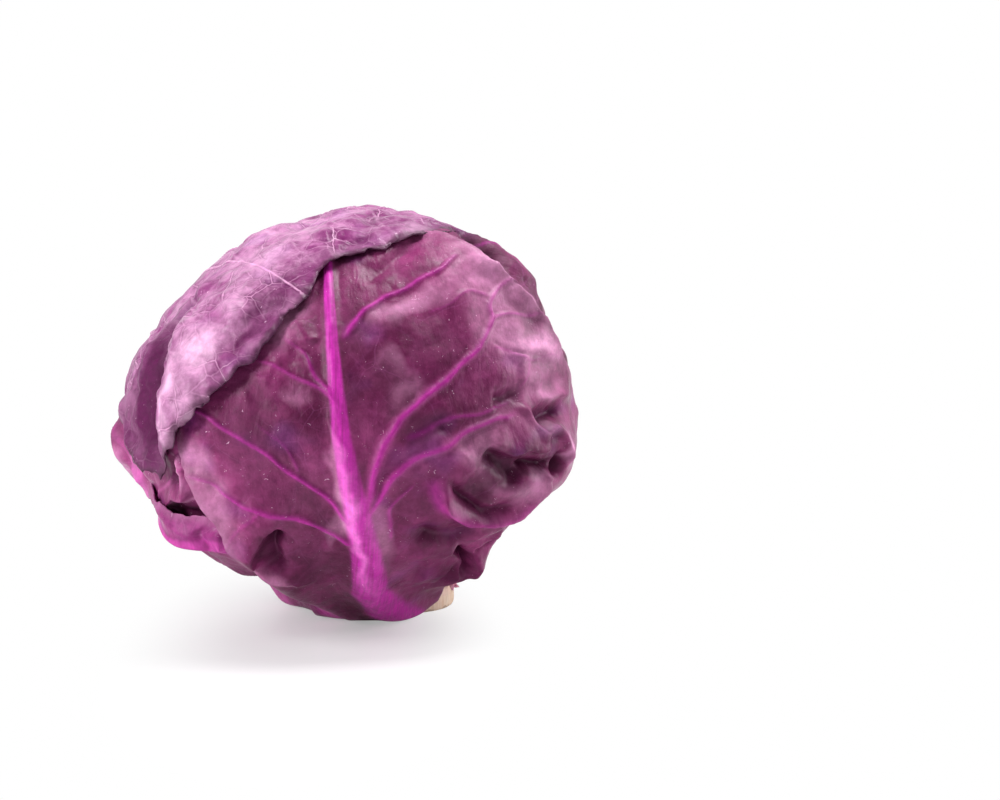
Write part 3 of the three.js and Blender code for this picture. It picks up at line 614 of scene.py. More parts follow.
class Relief:
    """The shape of a leaf's skin over its plain sheet, at some chart spots."""

    def __init__(self, leaf, spots):
        self.height = np.zeros(spots.shape[:-1])
        self.push = np.zeros_like(spots)
        self.vein = np.zeros(spots.shape[:-1])
        self.painted_dent_shade = np.zeros(spots.shape[:-1])
        vein_gap = np.full(spots.shape[:-1], 30.0)
        crumple = np.zeros(spots.shape[:-1])
        wavering = spots + wander(spots, 11, 31)
        crooked = spots + FOLD_WANDER * wander(spots, 8, 33)
        for points, height, width in VEINS[leaf.name]:
            away, along, _ = beside(points, 6 * width, wavering)
            taper = (1 - 0.55 * along) * smoothstep(1, 0.92, along) * smoothstep(0, 0.12, along)
            spread = np.abs(away) / (0.75 * width * (1 - 0.45 * along))
            shoulder = 0.35 * np.exp(-(spread / 3) ** 2) - 0.16 * np.exp(-((spread - 2.2) / 0.9) ** 2)
            self.height += 0.65 * height * taper * (np.exp(-spread ** 2) + shoulder)
            self.vein = np.maximum(self.vein, min(1, height / 1.6) * taper * np.exp(-(1.1 * spread) ** 2))
            vein_gap = np.minimum(vein_gap, np.abs(away))
        for points, height, left, right, over in FOLDS.get(leaf.name, ()):
            away, along, leftward = beside(points, 2 * max(left, right), crooked)
            taper = smoothstep(0, 0.25, along) * smoothstep(1, 0.75, along)
            crest = taper * np.exp(-np.abs(away / np.where(away > 0, left, right)) ** 1.6)
            around = taper * np.exp(-(away / (2.4 * max(left, right))) ** 2)
            crumple = np.maximum(crumple, min(1, abs(height) / 6) * around)
            self.height += height * crest
            self.push += over * crest[..., None] * leftward
            # the dents also set where painted shade darkens the skin
            if height < 0:
                self.painted_dent_shade = np.maximum(self.painted_dent_shade, crest * min(1, -height / 6))
        creases = 1 - 2 * np.abs(bumps(spots, 7, 41))
        small_creases = 1 - 2 * np.abs(bumps(spots, 3, 42))
        self.height += crumple * (0.5 * creases + 0.15 * small_creases)
        self.tone = swelling(TONE_AND_PAINTED_LIGHT_PATCHES.get(leaf.name, ()), spots + PATCH_WANDER * wander(spots, 9, 35))
        blister = np.maximum(0, bumps(spots + wander(spots, 5, 53), 6.5, 51)) ** 1.3
        self.height += swelling(BLISTERS.get(leaf.name, ()), spots) * blister
        rib_height, self.rib = leaf.rib_shape(spots)
        self.height += rib_height
        pucker, pillow, net_height, net_size, _ = SKIN[leaf.name]
        away, _ = nearest(leaf.rib_line, spots)
        calm = smoothstep(4, 18, away)
        puckers = bumps(spots, PUCKER_SIZE, 3) + 0.45 * bumps(spots, 0.45 * PUCKER_SIZE, 4)
        self.height += pucker * calm * puckers
        self.height += pillow * 2 * calm * (smoothstep(0, 8, vein_gap) - 0.5)
        gap = net(spots, net_size, 11)
        small_gap = net(spots, net_size * 0.36, 12)
        self.net = np.exp(-(gap / 0.55) ** 2) + 0.35 * np.exp(-(small_gap / 0.4) ** 2)
        self.height += calm * (pillow * smoothstep(0, 3.5, gap) + net_height * self.net
                               + 0.2 * pillow * smoothstep(0, 1.6, small_gap) * smoothstep(0, 3, gap))


def drape(index, directions):
    """How high the leaves below lift a leaf off the head."""
    height = np.full(directions.shape[:-1], CLEARANCE)
    for below in leaves[:index]:
        spots = below.chart.flatten(directions)
        share = below.cover(spots)
        height += share * (LAYER_STEP + below.ridge(spots) + swelling(below.swells, spots))
    return height


def covered(index, directions):
    """How deep under later leaves each direction lies, in millimetres from the nearest margin."""
    depth = np.full(directions.shape[:-1], -1e3)
    for above in leaves[index + 1:]:
        depth = np.maximum(depth, above.depth_inside(above.chart.flatten(directions)))
    return depth


def finer(grid):
    """A grid of values, interpolated smoothly to COARSE times as many cells each way."""
    for axis in (0, 1):
        grid = np.moveaxis(grid, axis, 0)
        count = grid.shape[0] - 1
        grid = smooth_curve(grid.reshape(count + 1, -1), np.linspace(0, 1, count * COARSE + 1)).reshape(
            (count * COARSE + 1,) + grid.shape[1:])
        grid = np.moveaxis(grid, 0, axis)
    return grid


def lowest_near(grid):
    """The lowest value within COARSE cells of each place on a grid."""
    for axis in (0, 1):
        padded = np.pad(grid, [(COARSE, COARSE) if a == axis else (0, 0) for a in (0, 1)], mode="edge")
        count = grid.shape[axis]
        grid = np.min([np.take(padded, range(k, k + count), axis) for k in range(2 * COARSE + 1)], axis=0)
    return grid


def mesh_object(name, points, faces, attributes=(), uv=None):
    mesh = bpy.data.meshes.new(name)
    mesh.from_pydata((points * MM).tolist(), [], faces)
    mesh.validate()
    for label, values in dict(attributes).items():
        marks = mesh.attributes.new(label, "FLOAT", "POINT").data
        marks.foreach_set("value", values.astype(np.float32).ravel())
    mesh.polygons.foreach_set("use_smooth", np.ones(len(mesh.polygons), bool))
    if uv is not None:
        layer = mesh.uv_layers.new(name="leaf")
        corner = np.empty(len(mesh.loops), np.int32)
        mesh.loops.foreach_get("vertex_index", corner)
        layer.data.foreach_set("uv", uv[corner].astype(np.float32).ravel())
    piece = bpy.data.objects.new(name, mesh)
    bpy.context.scene.collection.objects.link(piece)
    return piece


def sheet_faces(rows, columns):
    """Faces of the outer surface on the fine grid, the inner one on the coarse grid, and the margin."""
    fine = np.arange(rows * columns).reshape(rows, columns)
    coarse_rows, coarse_columns = (rows - 1) // COARSE + 1, (columns - 1) // COARSE + 1
    inner = rows * columns + np.arange(coarse_rows * coarse_columns).reshape(coarse_rows, coarse_columns)
    outer_faces = np.stack([fine[:-1, :-1], fine[:-1, 1:], fine[1:, 1:], fine[1:, :-1]], -1)
    inner_faces = np.stack([inner[:-1, :-1], inner[1:, :-1], inner[1:, 1:], inner[:-1, 1:]], -1)
    faces = np.vstack([outer_faces.reshape(-1, 4), inner_faces.reshape(-1, 4)]).tolist()
    outer_rim = np.concatenate([fine[0, :-1], fine[:-1, -1], fine[-1, :0:-1], fine[:0:-1, 0]])
    inner_rim = np.concatenate([inner[0, :-1], inner[:-1, -1], inner[-1, :0:-1], inner[:0:-1, 0]])
    for i, here in enumerate(inner_rim):
        after = inner_rim[(i + 1) % len(inner_rim)]
        edge = [outer_rim[(i * COARSE + k) % len(outer_rim)] for k in range(COARSE + 1)]
        faces += [[int(b), int(a), int(here)] for a, b in zip(edge[:-1], edge[1:])]
        faces.append([int(edge[-1]), int(here), int(after)])
    return faces


def stacked_ring_faces(rows, columns):
    """Faces of rings stacked upwards and closed by a point below and one above, which come last."""
    spot = np.arange(rows * columns).reshape(rows, columns)
    after = np.roll(spot, -1, axis=1)
    faces = np.stack([spot[:-1], after[:-1], after[1:], spot[1:]], -1).reshape(-1, 4).tolist()
    faces += [[rows * columns, int(b), int(a)] for a, b in zip(spot[0], after[0])]
    faces += [[rows * columns + 1, int(a), int(b)] for a, b in zip(spot[-1], after[-1])]
    return faces


# ---- finishes
def linear(red, green, blue):
    """A colour given as it looks on a screen, from 0 to 255 each."""
    parts = [c / 255 for c in (red, green, blue)]
    return tuple(c / 12.92 if c <= 0.04045 else ((c + 0.055) / 1.055) ** 2.4 for c in parts) + (1.0,)


class Graph:
    """Adds nodes to a tree and links them: an input is either a value or another node's output."""

    def __init__(self, tree):
        self.tree = tree

    def add(self, kind, inputs=(), **settings):
        node = self.tree.nodes.new(kind)
        for key, value in settings.items():
            setattr(node, key, value)
        for key, value in dict(inputs).items():
            socket = node.inputs[key]
            if isinstance(value, bpy.types.NodeSocket):
                self.tree.links.new(value, socket)
            else:
                socket.default_value = value
        return node

    def math(self, operation, a, b=0.0, clamp=False):
        return self.add("ShaderNodeMath", {0: a, 1: b}, operation=operation, use_clamp=clamp).outputs[0]

    def span(self, value, low, high, to_low=0.0, to_high=1.0):
        given = {"Value": value, "From Min": low, "From Max": high, "To Min": to_low, "To Max": to_high}
        return self.add("ShaderNodeMapRange", given, interpolation_type="SMOOTHSTEP").outputs[0]

    def mix(self, share, a, b, blend="MIX"):
        node = self.add("ShaderNodeMix", data_type="RGBA", blend_type=blend)
        for key, value in ((0, share), (6, a), (7, b)):
            if isinstance(value, bpy.types.NodeSocket):
                self.tree.links.new(value, node.inputs[key])
            else:
                node.inputs[key].default_value = value
        return node.outputs[2]

    def noise(self, vector, scale, detail=3.0, roughness=0.55, distortion=0.0):
        given = {"Vector": vector, "Scale": scale, "Detail": detail, "Roughness": roughness,
                 "Distortion": distortion}
        return self.add("ShaderNodeTexNoise", given).outputs["Fac"]

    def scaled(self, vector, amount):
        return self.add("ShaderNodeVectorMath", {0: vector, "Scale": amount}, operation="SCALE").outputs[0]

    def vector_math(self, operation, a, b):
        return self.add("ShaderNodeVectorMath", {0: a, 1: b}, operation=operation).outputs[0]

    def mark(self, name):
        return self.add("ShaderNodeAttribute", attribute_name=name).outputs["Fac"]


def group_tree(name, inputs, outputs):
    tree = bpy.data.node_groups.new(name, "ShaderNodeTree")
    for label, kind, value in inputs:
        socket = tree.interface.new_socket(label, in_out="INPUT", socket_type=kind)
        socket.default_value = value
    for label, kind in outputs:
        tree.interface.new_socket(label, in_out="OUTPUT", socket_type=kind)
    given, out = tree.nodes.new("NodeGroupInput").outputs, tree.nodes.new("NodeGroupOutput").inputs
    return tree, Graph(tree), given, out


def leaf_colour_group():
    """Blade, veins, net, bloom and margin colours of a leaf, with painted highlights and painted shade over
    them, and how rough each is.
    """
    colour, value = "NodeSocketColor", "NodeSocketFloat"
    tree, g, given, out = group_tree(
        "leaf_colour",
        [("Deep", colour, (0, 0, 0, 1)), ("Blade", colour, (0, 0, 0, 1)), ("Vein", colour, (0, 0, 0, 1)),
         ("Net", colour, (0, 0, 0, 1)), ("Bloom", colour, (0, 0, 0, 1)), ("Margin", colour, (0, 0, 0, 1)),
         ("Net Amount", value, 0.3), ("Bloom Amount", value, 0.3), ("Margin Amount", value, 0.3),
         ("Cell Lines", value, 0.0), ("Cell Shade", value, 0.0), ("Wash Amount", value, 0.0),
         ("Roughness", value, 0.4)],
        [("Color", colour), ("Roughness", value)])
    place = g.add("ShaderNodeTexCoord").outputs["Object"]
    broad = g.noise(place, 26.0, 3.0)
    patchy = g.noise(place, 85.0, 4.0, 0.6, 0.4)
    fine = g.noise(place, 520.0, 3.0, 0.6)
    blend = g.math("ADD", g.math("MULTIPLY", broad, 0.6), g.math("MULTIPLY", patchy, 0.4))
    base = g.mix(g.span(blend, 0.38, 0.62), given["Deep"], given["Blade"])
    violet = g.noise(place, 44.0, 2.0)
    base = g.mix(g.span(violet, 0.56, 0.72, 0.0, 0.2), base, linear(112, 62, 150))
    mottled = g.noise(place, 240.0, 5.0, 0.7)
    cloudy = g.span(g.noise(place, 60.0, 5.0, 0.65), 0.36, 0.64, 0.05, 1.0)
    waxy = g.math("MULTIPLY", given["Bloom Amount"], cloudy)
    base = g.mix(waxy, base, given["Bloom"])
    wash = g.math("MULTIPLY", given["Wash Amount"], g.span(g.mark("inset"), 3.0, 11.0, 1.0, 0.0))
    base = g.mix(g.math("MULTIPLY", wash, g.span(patchy, 0.35, 0.6, 0.5, 1.0)), base, linear(132, 76, 116))
    # where the patches are positive the skin goes to its bloom colour, as waxy bloom and as painted highlight
    tone = g.mark("tone")
    bloom_and_painted_highlight = g.math("MULTIPLY", tone, g.span(patchy, 0.3, 0.7, 0.75, 1.1), clamp=True)
    base = g.mix(bloom_and_painted_highlight, base, given["Bloom"])
    base = g.mix(g.math("MULTIPLY", g.mark("net"), given["Net Amount"]), base, given["Net"])
    # painted shade at the edge of each small cell
    base = g.mix(given["Cell Shade"], base, g.mix(0.5, given["Deep"], (0, 0, 0, 1)))
    base = g.mix(given["Cell Lines"], base, given["Net"])
    # where they are negative it goes deeper and bare of bloom, as painted shade in hollows and under folds
    bare_skin_and_painted_shade = g.math("MULTIPLY", tone, -1.0, clamp=True)
    base = g.mix(bare_skin_and_painted_shade, base, g.mix(0.5, given["Deep"], linear(52, 8, 36)))
    base = g.mix(g.math("MULTIPLY", g.mark("vein"), 0.8), base, given["Vein"])
    flat = g.add("ShaderNodeUVMap", uv_map="leaf").outputs[0]
    drawn_out = g.vector_math("MULTIPLY", flat, (1.0, 0.07, 1.0))
    fibres = g.noise(drawn_out, 900.0, 2.0, 0.6)
    rib = g.math("MULTIPLY", g.span(g.mark("rib"), 0.1, 0.8, 0.0, 1.0), g.span(fibres, 0.35, 0.62, 0.62, 1.0))
    base = g.mix(rib, base, given["Vein"])
    # painted highlight: the midrib goes a lighter pink where a positive patch lies over it
    base = g.mix(g.math("MULTIPLY", rib, tone, clamp=True), base, linear(240, 120, 214))
    rim = g.span(g.mark("inset"), 0.3, 3.0, 1.0, 0.0)
    base = g.mix(g.math("MULTIPLY", rim, given["Margin Amount"]), base, given["Margin"])
    # painted shade in the dents and creases of the folds, then random mottling
    shade = g.math("SUBTRACT", 1.0, g.math("MULTIPLY", g.mark("painted_dent_shade"), 0.5))
    shade = g.math("MULTIPLY", shade, g.span(fine, 0.3, 0.7, 0.93, 1.07))
    shade = g.math("MULTIPLY", shade, g.span(mottled, 0.3, 0.7, 0.84, 1.14))
    flecks = g.span(g.noise(place, 820.0, 1.0, 0.5, 1.5), 0.74, 0.8, 0.0, 0.5)
    base = g.mix(flecks, base, linear(232, 190, 218))
    g.tree.links.new(g.scaled(base, shade), out["Color"])
    rough = g.math("ADD", given["Roughness"], g.span(patchy, 0.3, 0.7, -0.06, 0.08))
    rough = g.math("ADD", rough, g.math("MULTIPLY", bare_skin_and_painted_shade, 0.25))
    g.tree.links.new(g.math("ADD", rough, g.math("MULTIPLY", fine, 0.05)), out["Roughness"])
    return tree


def leaf_cells_group():
    """The small closed cells between a leaf's veins: pale lines along a fine crease, painted shade beside it,
    and pillows.
    """
    value = "NodeSocketFloat"
    tree, g, given, out = group_tree("leaf_cells", [("Cell", value, 0.01)],
                                     [("Lines", value), ("Shade", value), ("Pillow", value)])
    flat = g.add("ShaderNodeUVMap", uv_map="leaf").outputs[0]
    bend = g.add("ShaderNodeTexNoise", {"Vector": flat, "Scale": 120.0, "Detail": 2.0}).outputs["Color"]
    bent = g.vector_math("ADD", flat, g.scaled(bend, 0.004))
    lines, shade, pillow = 0.0, 0.0, 0.0
    for size, amount in ((1.9, 1.0), (0.8, 0.55)):
        scale = g.math("DIVIDE", 1 / size, given["Cell"])
        cells = g.add("ShaderNodeTexVoronoi", {"Vector": bent, "Scale": scale, "Randomness": 1.0},
                      feature="DISTANCE_TO_EDGE", voronoi_dimensions="2D").outputs["Distance"]
        away = g.math("MULTIPLY", cells, size)
        lines = g.math("MAXIMUM", lines, g.span(away, 0.008, 0.034, amount, 0.0))
        shade = g.math("MAXIMUM", shade, g.span(away, 0.03, 0.12, 0.6 * amount, 0.0))
        pillow = g.math("ADD", pillow, g.span(away, 0.0, 0.3, 0.0, amount))
    fading = g.span(g.noise(flat, 45.0, 2.0), 0.38, 0.58, 0.15, 1.0)
    g.tree.links.new(g.math("MULTIPLY", lines, fading), out["Lines"])
    g.tree.links.new(g.math("MULTIPLY", shade, fading), out["Shade"])
    g.tree.links.new(g.math("MULTIPLY", pillow, fading), out["Pillow"])
    return tree


def leaf_grain_group():
    """The finest veining and pores of the skin, as a height from 0 to 1."""
    tree, g, given, out = group_tree(
        "leaf_grain", [("Cell", "NodeSocketFloat", 0.002)], [("Height", "NodeSocketFloat")])
    flat = g.add("ShaderNodeUVMap", uv_map="leaf").outputs[0]
    place = g.add("ShaderNodeTexCoord").outputs["Object"]
    scale = g.math("DIVIDE", 1.0, given["Cell"])
    weave = g.noise(g.scaled(flat, scale), 1.0, 2.0, 0.5, 0.8)
    height = g.math("MULTIPLY", weave, 0.5)
    height = g.math("ADD", height, g.math("MULTIPLY", g.noise(place, 1500.0, 3.0), 0.35))
    height = g.math("ADD", height, g.math("MULTIPLY", g.noise(place, 260.0, 3.0), 1.2))
    drawn_out = g.vector_math("MULTIPLY", flat, (1.0, 0.35, 1.0))
    height = g.math("ADD", height, g.math("MULTIPLY", g.noise(drawn_out, 380.0, 4.0, 0.6, 0.6), 2.2))
    g.tree.links.new(height, out["Height"])
    return tree


def new_material(name):
    material = bpy.data.materials.new(name)
    material.use_nodes = True
    material.node_tree.nodes.clear()
    return material, Graph(material.node_tree)


def finish_surface(g, principled):
    output = g.add("ShaderNodeOutputMaterial")
    g.tree.links.new(principled.outputs[0], output.inputs["Surface"])


LEAF_COLOUR, LEAF_CELLS, LEAF_GRAIN = leaf_colour_group(), leaf_cells_group(), leaf_grain_group()

# Each leaf's colours: deep and plain blade, vein, small net, waxy bloom and margin, then how much
# of the net, the bloom and the margin colour shows, and how rough the skin is
PLUM = dict(deep=(80, 16, 54), blade=(124, 42, 92), vein=(182, 42, 154), net=(160, 84, 140),
            bloom=(214, 146, 188), margin=(150, 100, 130), amounts=(0.15, 0.05, 0.4), rough=0.36)
LEAF_FINISHES = {
    # the crown's bloom is set high partly as painted highlight
    "crown_leaf": dict(deep=(104, 12, 84), blade=(128, 46, 108), vein=(204, 148, 186), net=(206, 150, 188),
                       bloom=(226, 176, 210), margin=(70, 36, 58), amounts=(0.0, 0.36, 0.8), rough=0.32,
                       cells=0.75, wash=0.45),
    "front_leaf": dict(PLUM, amounts=(0.06, 0.05, 0.4), cells=0.14),
    "right_leaf": dict(PLUM),
    "back_leaf": dict(PLUM, blade=(140, 60, 116)),
    "left_leaf": dict(PLUM, blade=(140, 56, 108), deep=(98, 28, 72), vein=(176, 84, 146)),
    "left_fold_leaf": dict(PLUM, blade=(134, 36, 106), deep=(96, 16, 72), vein=(176, 60, 144)),
    "lower_left_leaf": dict(PLUM, deep=(124, 6, 94), blade=(170, 12, 132), vein=(150, 50, 116)),
    "lower_right_leaf": dict(PLUM, blade=(128, 84, 104), deep=(98, 60, 78)),
}


GRAIN_DEPTH = 0.00013
SKIN_SHINE, SHINE_TINT = 0.17, (1.0, 0.84, 0.95, 1.0)
CELL_SIZE = 0.01


def leaf_material(name, deep, blade, vein, net, bloom, margin, amounts, rough, cells=0.25, wash=0.0):
    material, g = new_material(name + "_skin")
    colours = {"Deep": deep, "Blade": blade, "Vein": vein, "Net": net, "Bloom": bloom, "Margin": margin}
    given = {key: linear(*value) for key, value in colours.items()}
    given.update({"Net Amount": amounts[0], "Bloom Amount": amounts[1], "Margin Amount": amounts[2],
                  "Wash Amount": wash, "Roughness": rough})
    colour = g.add("ShaderNodeGroup", node_tree=LEAF_COLOUR)
    grain = g.add("ShaderNodeGroup", node_tree=LEAF_GRAIN)
    small_cells = g.add("ShaderNodeGroup", node_tree=LEAF_CELLS)
    small_cells.inputs["Cell"].default_value = CELL_SIZE
    g.tree.links.new(g.math("MULTIPLY", small_cells.outputs["Lines"], cells), colour.inputs["Cell Lines"])
    g.tree.links.new(g.math("MULTIPLY", small_cells.outputs["Shade"], cells), colour.inputs["Cell Shade"])
    pillows = g.math("MULTIPLY", small_cells.outputs["Pillow"], 5.0 * cells)
    relief = g.math("ADD", grain.outputs["Height"], pillows)
    for key, value in given.items():
        colour.inputs[key].default_value = value
    bump = g.add("ShaderNodeBump", {"Height": relief, "Strength": 1.0, "Distance": GRAIN_DEPTH})
    skin = g.add("ShaderNodeBsdfPrincipled", {
        "Base Color": colour.outputs["Color"], "Roughness": colour.outputs["Roughness"],
        "Normal": bump.outputs[0], "Specular IOR Level": SKIN_SHINE, "Specular Tint": SHINE_TINT})
    finish_surface(g, skin)
    return material


def make_leaf(index):
    leaf = leaves[index]
    columns, rows = (count - count % COARSE for count in leaf.cells)
    u, v = np.meshgrid(np.linspace(-1, 1, columns + 1), np.linspace(0, 1, rows + 1))
    spots = leaf.spots(u, v)
    inset = finer(leaf.depth_inside(spots[::COARSE, ::COARSE]))
    ragged = SKIN[leaf.name][-1] * np.exp(-np.maximum(inset, 0) / 4) * smoothstep(0, 0.15, v)
    for size, share in ((7, 1), (2.5, 0.45)):
        spots = spots + (share * ragged)[..., None] * wander(spots, size, 21)
    relief = Relief(leaf, spots)
    directions = leaf.chart.wrap(spots)
    coarse = directions[::COARSE, ::COARSE]
    under = finer(drape(index, coarse))
    buried = finer(covered(index, coarse))
    shown = 1 - smoothstep(SINK_START, SINK_FULL, buried - SINKS_LATER.get(leaf.name, 0))
    height = under + swelling(leaf.swells, spots) + LEAF_THICKNESS + leaf.ridge(spots)
    height += shown * relief.height - HIDDEN_SINK * (1 - shown)
    outer = over_head(leaf.chart.wrap(spots + shown[..., None] * relief.push), height)
    across, along = np.gradient(outer, axis=1), np.gradient(outer, axis=0)
    facing_out = np.cross(across, along)
    facing_out /= np.linalg.norm(facing_out, axis=-1)[..., None]
    thickness = MARGIN_THICKNESS + THICKER_INSIDE * smoothstep(0, 8, inset)
    below = np.minimum(height, lowest_near(height) + 10 * (1 - smoothstep(1, 5, inset)))
    low = over_head(directions, below)
    inner = (low - thickness[..., None] * facing_out)[::COARSE, ::COARSE]
    points = np.vstack([outer.reshape(-1, 3), inner.reshape(-1, 3)])
    uv = np.vstack([spots.reshape(-1, 2), spots[::COARSE, ::COARSE].reshape(-1, 2)]) * MM
    marks = {key: getattr(relief, key) for key in ("vein", "net", "painted_dent_shade", "rib", "tone")}
    marks["inset"] = inset
    marks = {key: np.append(value.ravel(), value[::COARSE, ::COARSE].ravel()) for key, value in marks.items()}
    piece = mesh_object(leaf.name + "_skin", points, sheet_faces(rows + 1, columns + 1), marks, uv)
    piece.data.materials.append(leaf_material(leaf.name, **LEAF_FINISHES[leaf.name]))
    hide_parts(leaf.name)
    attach(piece, "root")


for index in range(len(leaves)):
    make_leaf(index)


HEART_SHRINK = 11.0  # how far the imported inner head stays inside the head's own surface


def make_heart():
    """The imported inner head, seen only deep in the gaps between leaves."""
    turns, rises = np.meshgrid(np.linspace(-180, 180, 49)[:-1], np.linspace(-90, 90, 25)[1:-1])
    t, r = np.radians(turns), np.radians(rises)
    directions = np.stack([np.sin(t) * np.cos(r), -np.cos(t) * np.cos(r), np.sin(r)], -1)
    rings = over_head(directions, 1.5 * bumps(np.stack([turns, rises], -1), 14, 7) - HEART_SHRINK)
    poles = over_head(np.array([[0, 0, -1.0], [0, 0, 1.0]]), np.full(2, -HEART_SHRINK))
    points = np.vstack([rings.reshape(-1, 3), poles])
    piece = mesh_object("heart_skin", points, stacked_ring_faces(*turns.shape))
    material, g = new_material("heart_skin")
    place = g.add("ShaderNodeTexCoord").outputs["Object"]
    shade = g.mix(g.span(g.noise(place, 60.0), 0.35, 0.65), linear(70, 18, 54), linear(110, 34, 88))
    finish_surface(g, g.add("ShaderNodeBsdfPrincipled", {"Base Color": shade, "Roughness": 0.5}))
    piece.data.materials.append(material)
    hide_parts("heart")
    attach(piece, "root")


make_heart()


def flesh_material(name, side, cut, skin):
    """Pale fibrous flesh: streaks run up its side, and the skin's colour comes in towards the top."""
    material, g = new_material(name)
    place = g.add("ShaderNodeTexCoord").outputs["Object"]
    stretched = g.add("ShaderNodeMapping", {"Vector": place, "Scale": (1.0, 1.0, 0.14)}).outputs[0]
    fibre = g.noise(stretched, 900.0, 4.0, 0.65)
    blotch = g.noise(place, 160.0, 4.0, 0.6)
    height = g.add("ShaderNodeSeparateXYZ", {0: place}).outputs[2]
    base = g.mix(g.span(fibre, 0.3, 0.7), linear(*cut), linear(*side))
    base = g.mix(g.span(blotch, 0.55, 0.75, 0.0, 0.3), base, linear(206, 160, 116))
    up = g.math("ADD", height, g.span(blotch, 0.3, 0.7, -0.002, 0.002))
    base = g.mix(g.span(up, 0.005, 0.011, 0.0, 0.75), base, linear(*skin))
    base = g.mix(g.span(up, 0.0008, 0.0, 0.0, 0.5), base, linear(150, 112, 84))
    rise = g.math("ADD", fibre, blotch)
    bump = g.add("ShaderNodeBump", {"Height": rise, "Strength": 0.8, "Distance": 0.0004})
    finish_surface(g, g.add("ShaderNodeBsdfPrincipled", {
        "Base Color": base, "Roughness": g.span(fibre, 0.3, 0.7, 0.45, 0.65), "Normal": bump.outputs[0],
        "Specular IOR Level": 0.35}))
    return material


def make_stump():
    """The cut stem: ribbed down its side where leaves were taken off, slightly dished underneath."""
    turns = np.radians(np.arange(0, 360, 2.5))
    rises = np.array([0, 0.5, 1.2, 2.4, 4, 6, 8, 10, 12, 14, 15.5, STUMP_HEIGHT])
    t, z = np.meshgrid(turns, rises)
    around = np.stack([t * 9, z * 0.35], -1)
    swell = 0.7 * bumps(around, 2.6, 61) * np.sin(t / 2) ** 2
    swell = swell + 0.35 * bumps(np.stack([t * 22, z * 0.2], -1), 1.6, 62)
    scar = 0.5 * np.exp(-((z - 9 - 2 * np.sin(2 * t)) / 0.9) ** 2)
    share = 1 - 0.035 * np.exp(-z / 0.7) + (swell + scar) / STUMP_ACROSS - 0.02
    sides = np.stack([STUMP_ACROSS * share * np.sin(t), -STUMP_DEEP * share * np.cos(t), z], -1)
    dish = []
    for k in (0.22, 0.44, 0.66, 0.86):
        grain = 0.12 * bumps(np.stack([turns * 14 * k, turns * 0 + 9 * k], -1), 1.5, 63)
        hollow = STUMP_DISH * (1 - k ** 4) + grain
        dish.append(np.stack([STUMP_ACROSS * k * np.sin(turns), -STUMP_DEEP * k * np.cos(turns), hollow], -1))
    rings = np.vstack([np.array(dish), sides])
    points = np.vstack([rings.reshape(-1, 3), [[0, 0, STUMP_DISH], [0, 0, STUMP_HEIGHT]]])
    piece = mesh_object("stump_flesh", points, stacked_ring_faces(*rings.shape[:2]))
    flesh = flesh_material("stump_flesh", (244, 224, 204), (236, 208, 178), (206, 110, 156))
    piece.data.materials.append(flesh)
    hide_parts("stump")
    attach(piece, "root")


def torn_tips_tree(material):
    """Crumpled tips of torn leaf stalks, standing round an oval."""
    tree = bpy.data.node_groups.new("torn_tips", "GeometryNodeTree")
    for label, kind, value in (("Across", "NodeSocketFloat", 0.02), ("Deep", "NodeSocketFloat", 0.016),
                               ("Rise", "NodeSocketFloat", 0.012), ("Count", "NodeSocketInt", 90),
                               ("Length", "NodeSocketFloat", 0.004), ("Seed", "NodeSocketInt", 5)):
        tree.interface.new_socket(label, in_out="INPUT", socket_type=kind).default_value = value
    tree.interface.new_socket("Geometry", in_out="OUTPUT", socket_type="NodeSocketGeometry")
    g, given = Graph(tree), tree.nodes.new("NodeGroupInput").outputs
    out = tree.nodes.new("NodeGroupOutput").inputs
    circle = g.add("GeometryNodeCurvePrimitiveCircle", {"Radius": 1.0, "Resolution": 64}).outputs["Curve"]
    oval = g.add("ShaderNodeCombineXYZ", {0: given["Across"], 1: given["Deep"], 2: 1.0}).outputs[0]
    lift = g.add("ShaderNodeCombineXYZ", {2: given["Rise"]}).outputs[0]
    ring = g.add("GeometryNodeTransform", {"Geometry": circle, "Scale": oval, "Translation": lift}).outputs[0]
    spots = g.add("GeometryNodeCurveToPoints", {"Curve": ring, "Count": given["Count"]}).outputs
    tip = g.add("GeometryNodeMeshCone", {
        "Vertices": 7, "Side Segments": 3, "Fill Segments": 1, "Radius Top": 0.0002, "Radius Bottom": 0.0011,
        "Depth": given["Length"]}).outputs["Mesh"]

    def random_vector(low, high):
        return g.add("FunctionNodeRandomValue", {0: low, 1: high, "Seed": given["Seed"]},
                     data_type="FLOAT_VECTOR").outputs[0]

    turned = random_vector((-0.7, -0.7, -3.1), (0.7, 0.7, 3.1))
    size = random_vector((0.5, 0.3, 0.4), (1.5, 0.8, 1.3))
    drift = random_vector((-0.0008, -0.0008, -0.002), (0.0008, 0.0008, 0.002))
    moved = g.add("GeometryNodeSetPosition", {"Geometry": spots["Points"], "Offset": drift}).outputs[0]
    placed = g.add("GeometryNodeInstanceOnPoints", {"Points": moved, "Instance": tip, "Rotation": turned,
                                                    "Scale": size}).outputs[0]
    real = g.add("GeometryNodeRealizeInstances", {"Geometry": placed}).outputs[0]
    crumple = g.add("ShaderNodeTexNoise", {"Scale": 900.0, "Detail": 2.0}).outputs["Color"]
    crumple = g.scaled(g.vector_math("SUBTRACT", crumple, (0.5, 0.5, 0.5)), 0.0016)
    bent = g.add("GeometryNodeSetPosition", {"Geometry": real, "Offset": crumple}).outputs[0]
    done = g.add("GeometryNodeSetMaterial", {"Geometry": bent, "Material": material}).outputs[0]
    tree.links.new(done, out["Geometry"])
    return tree


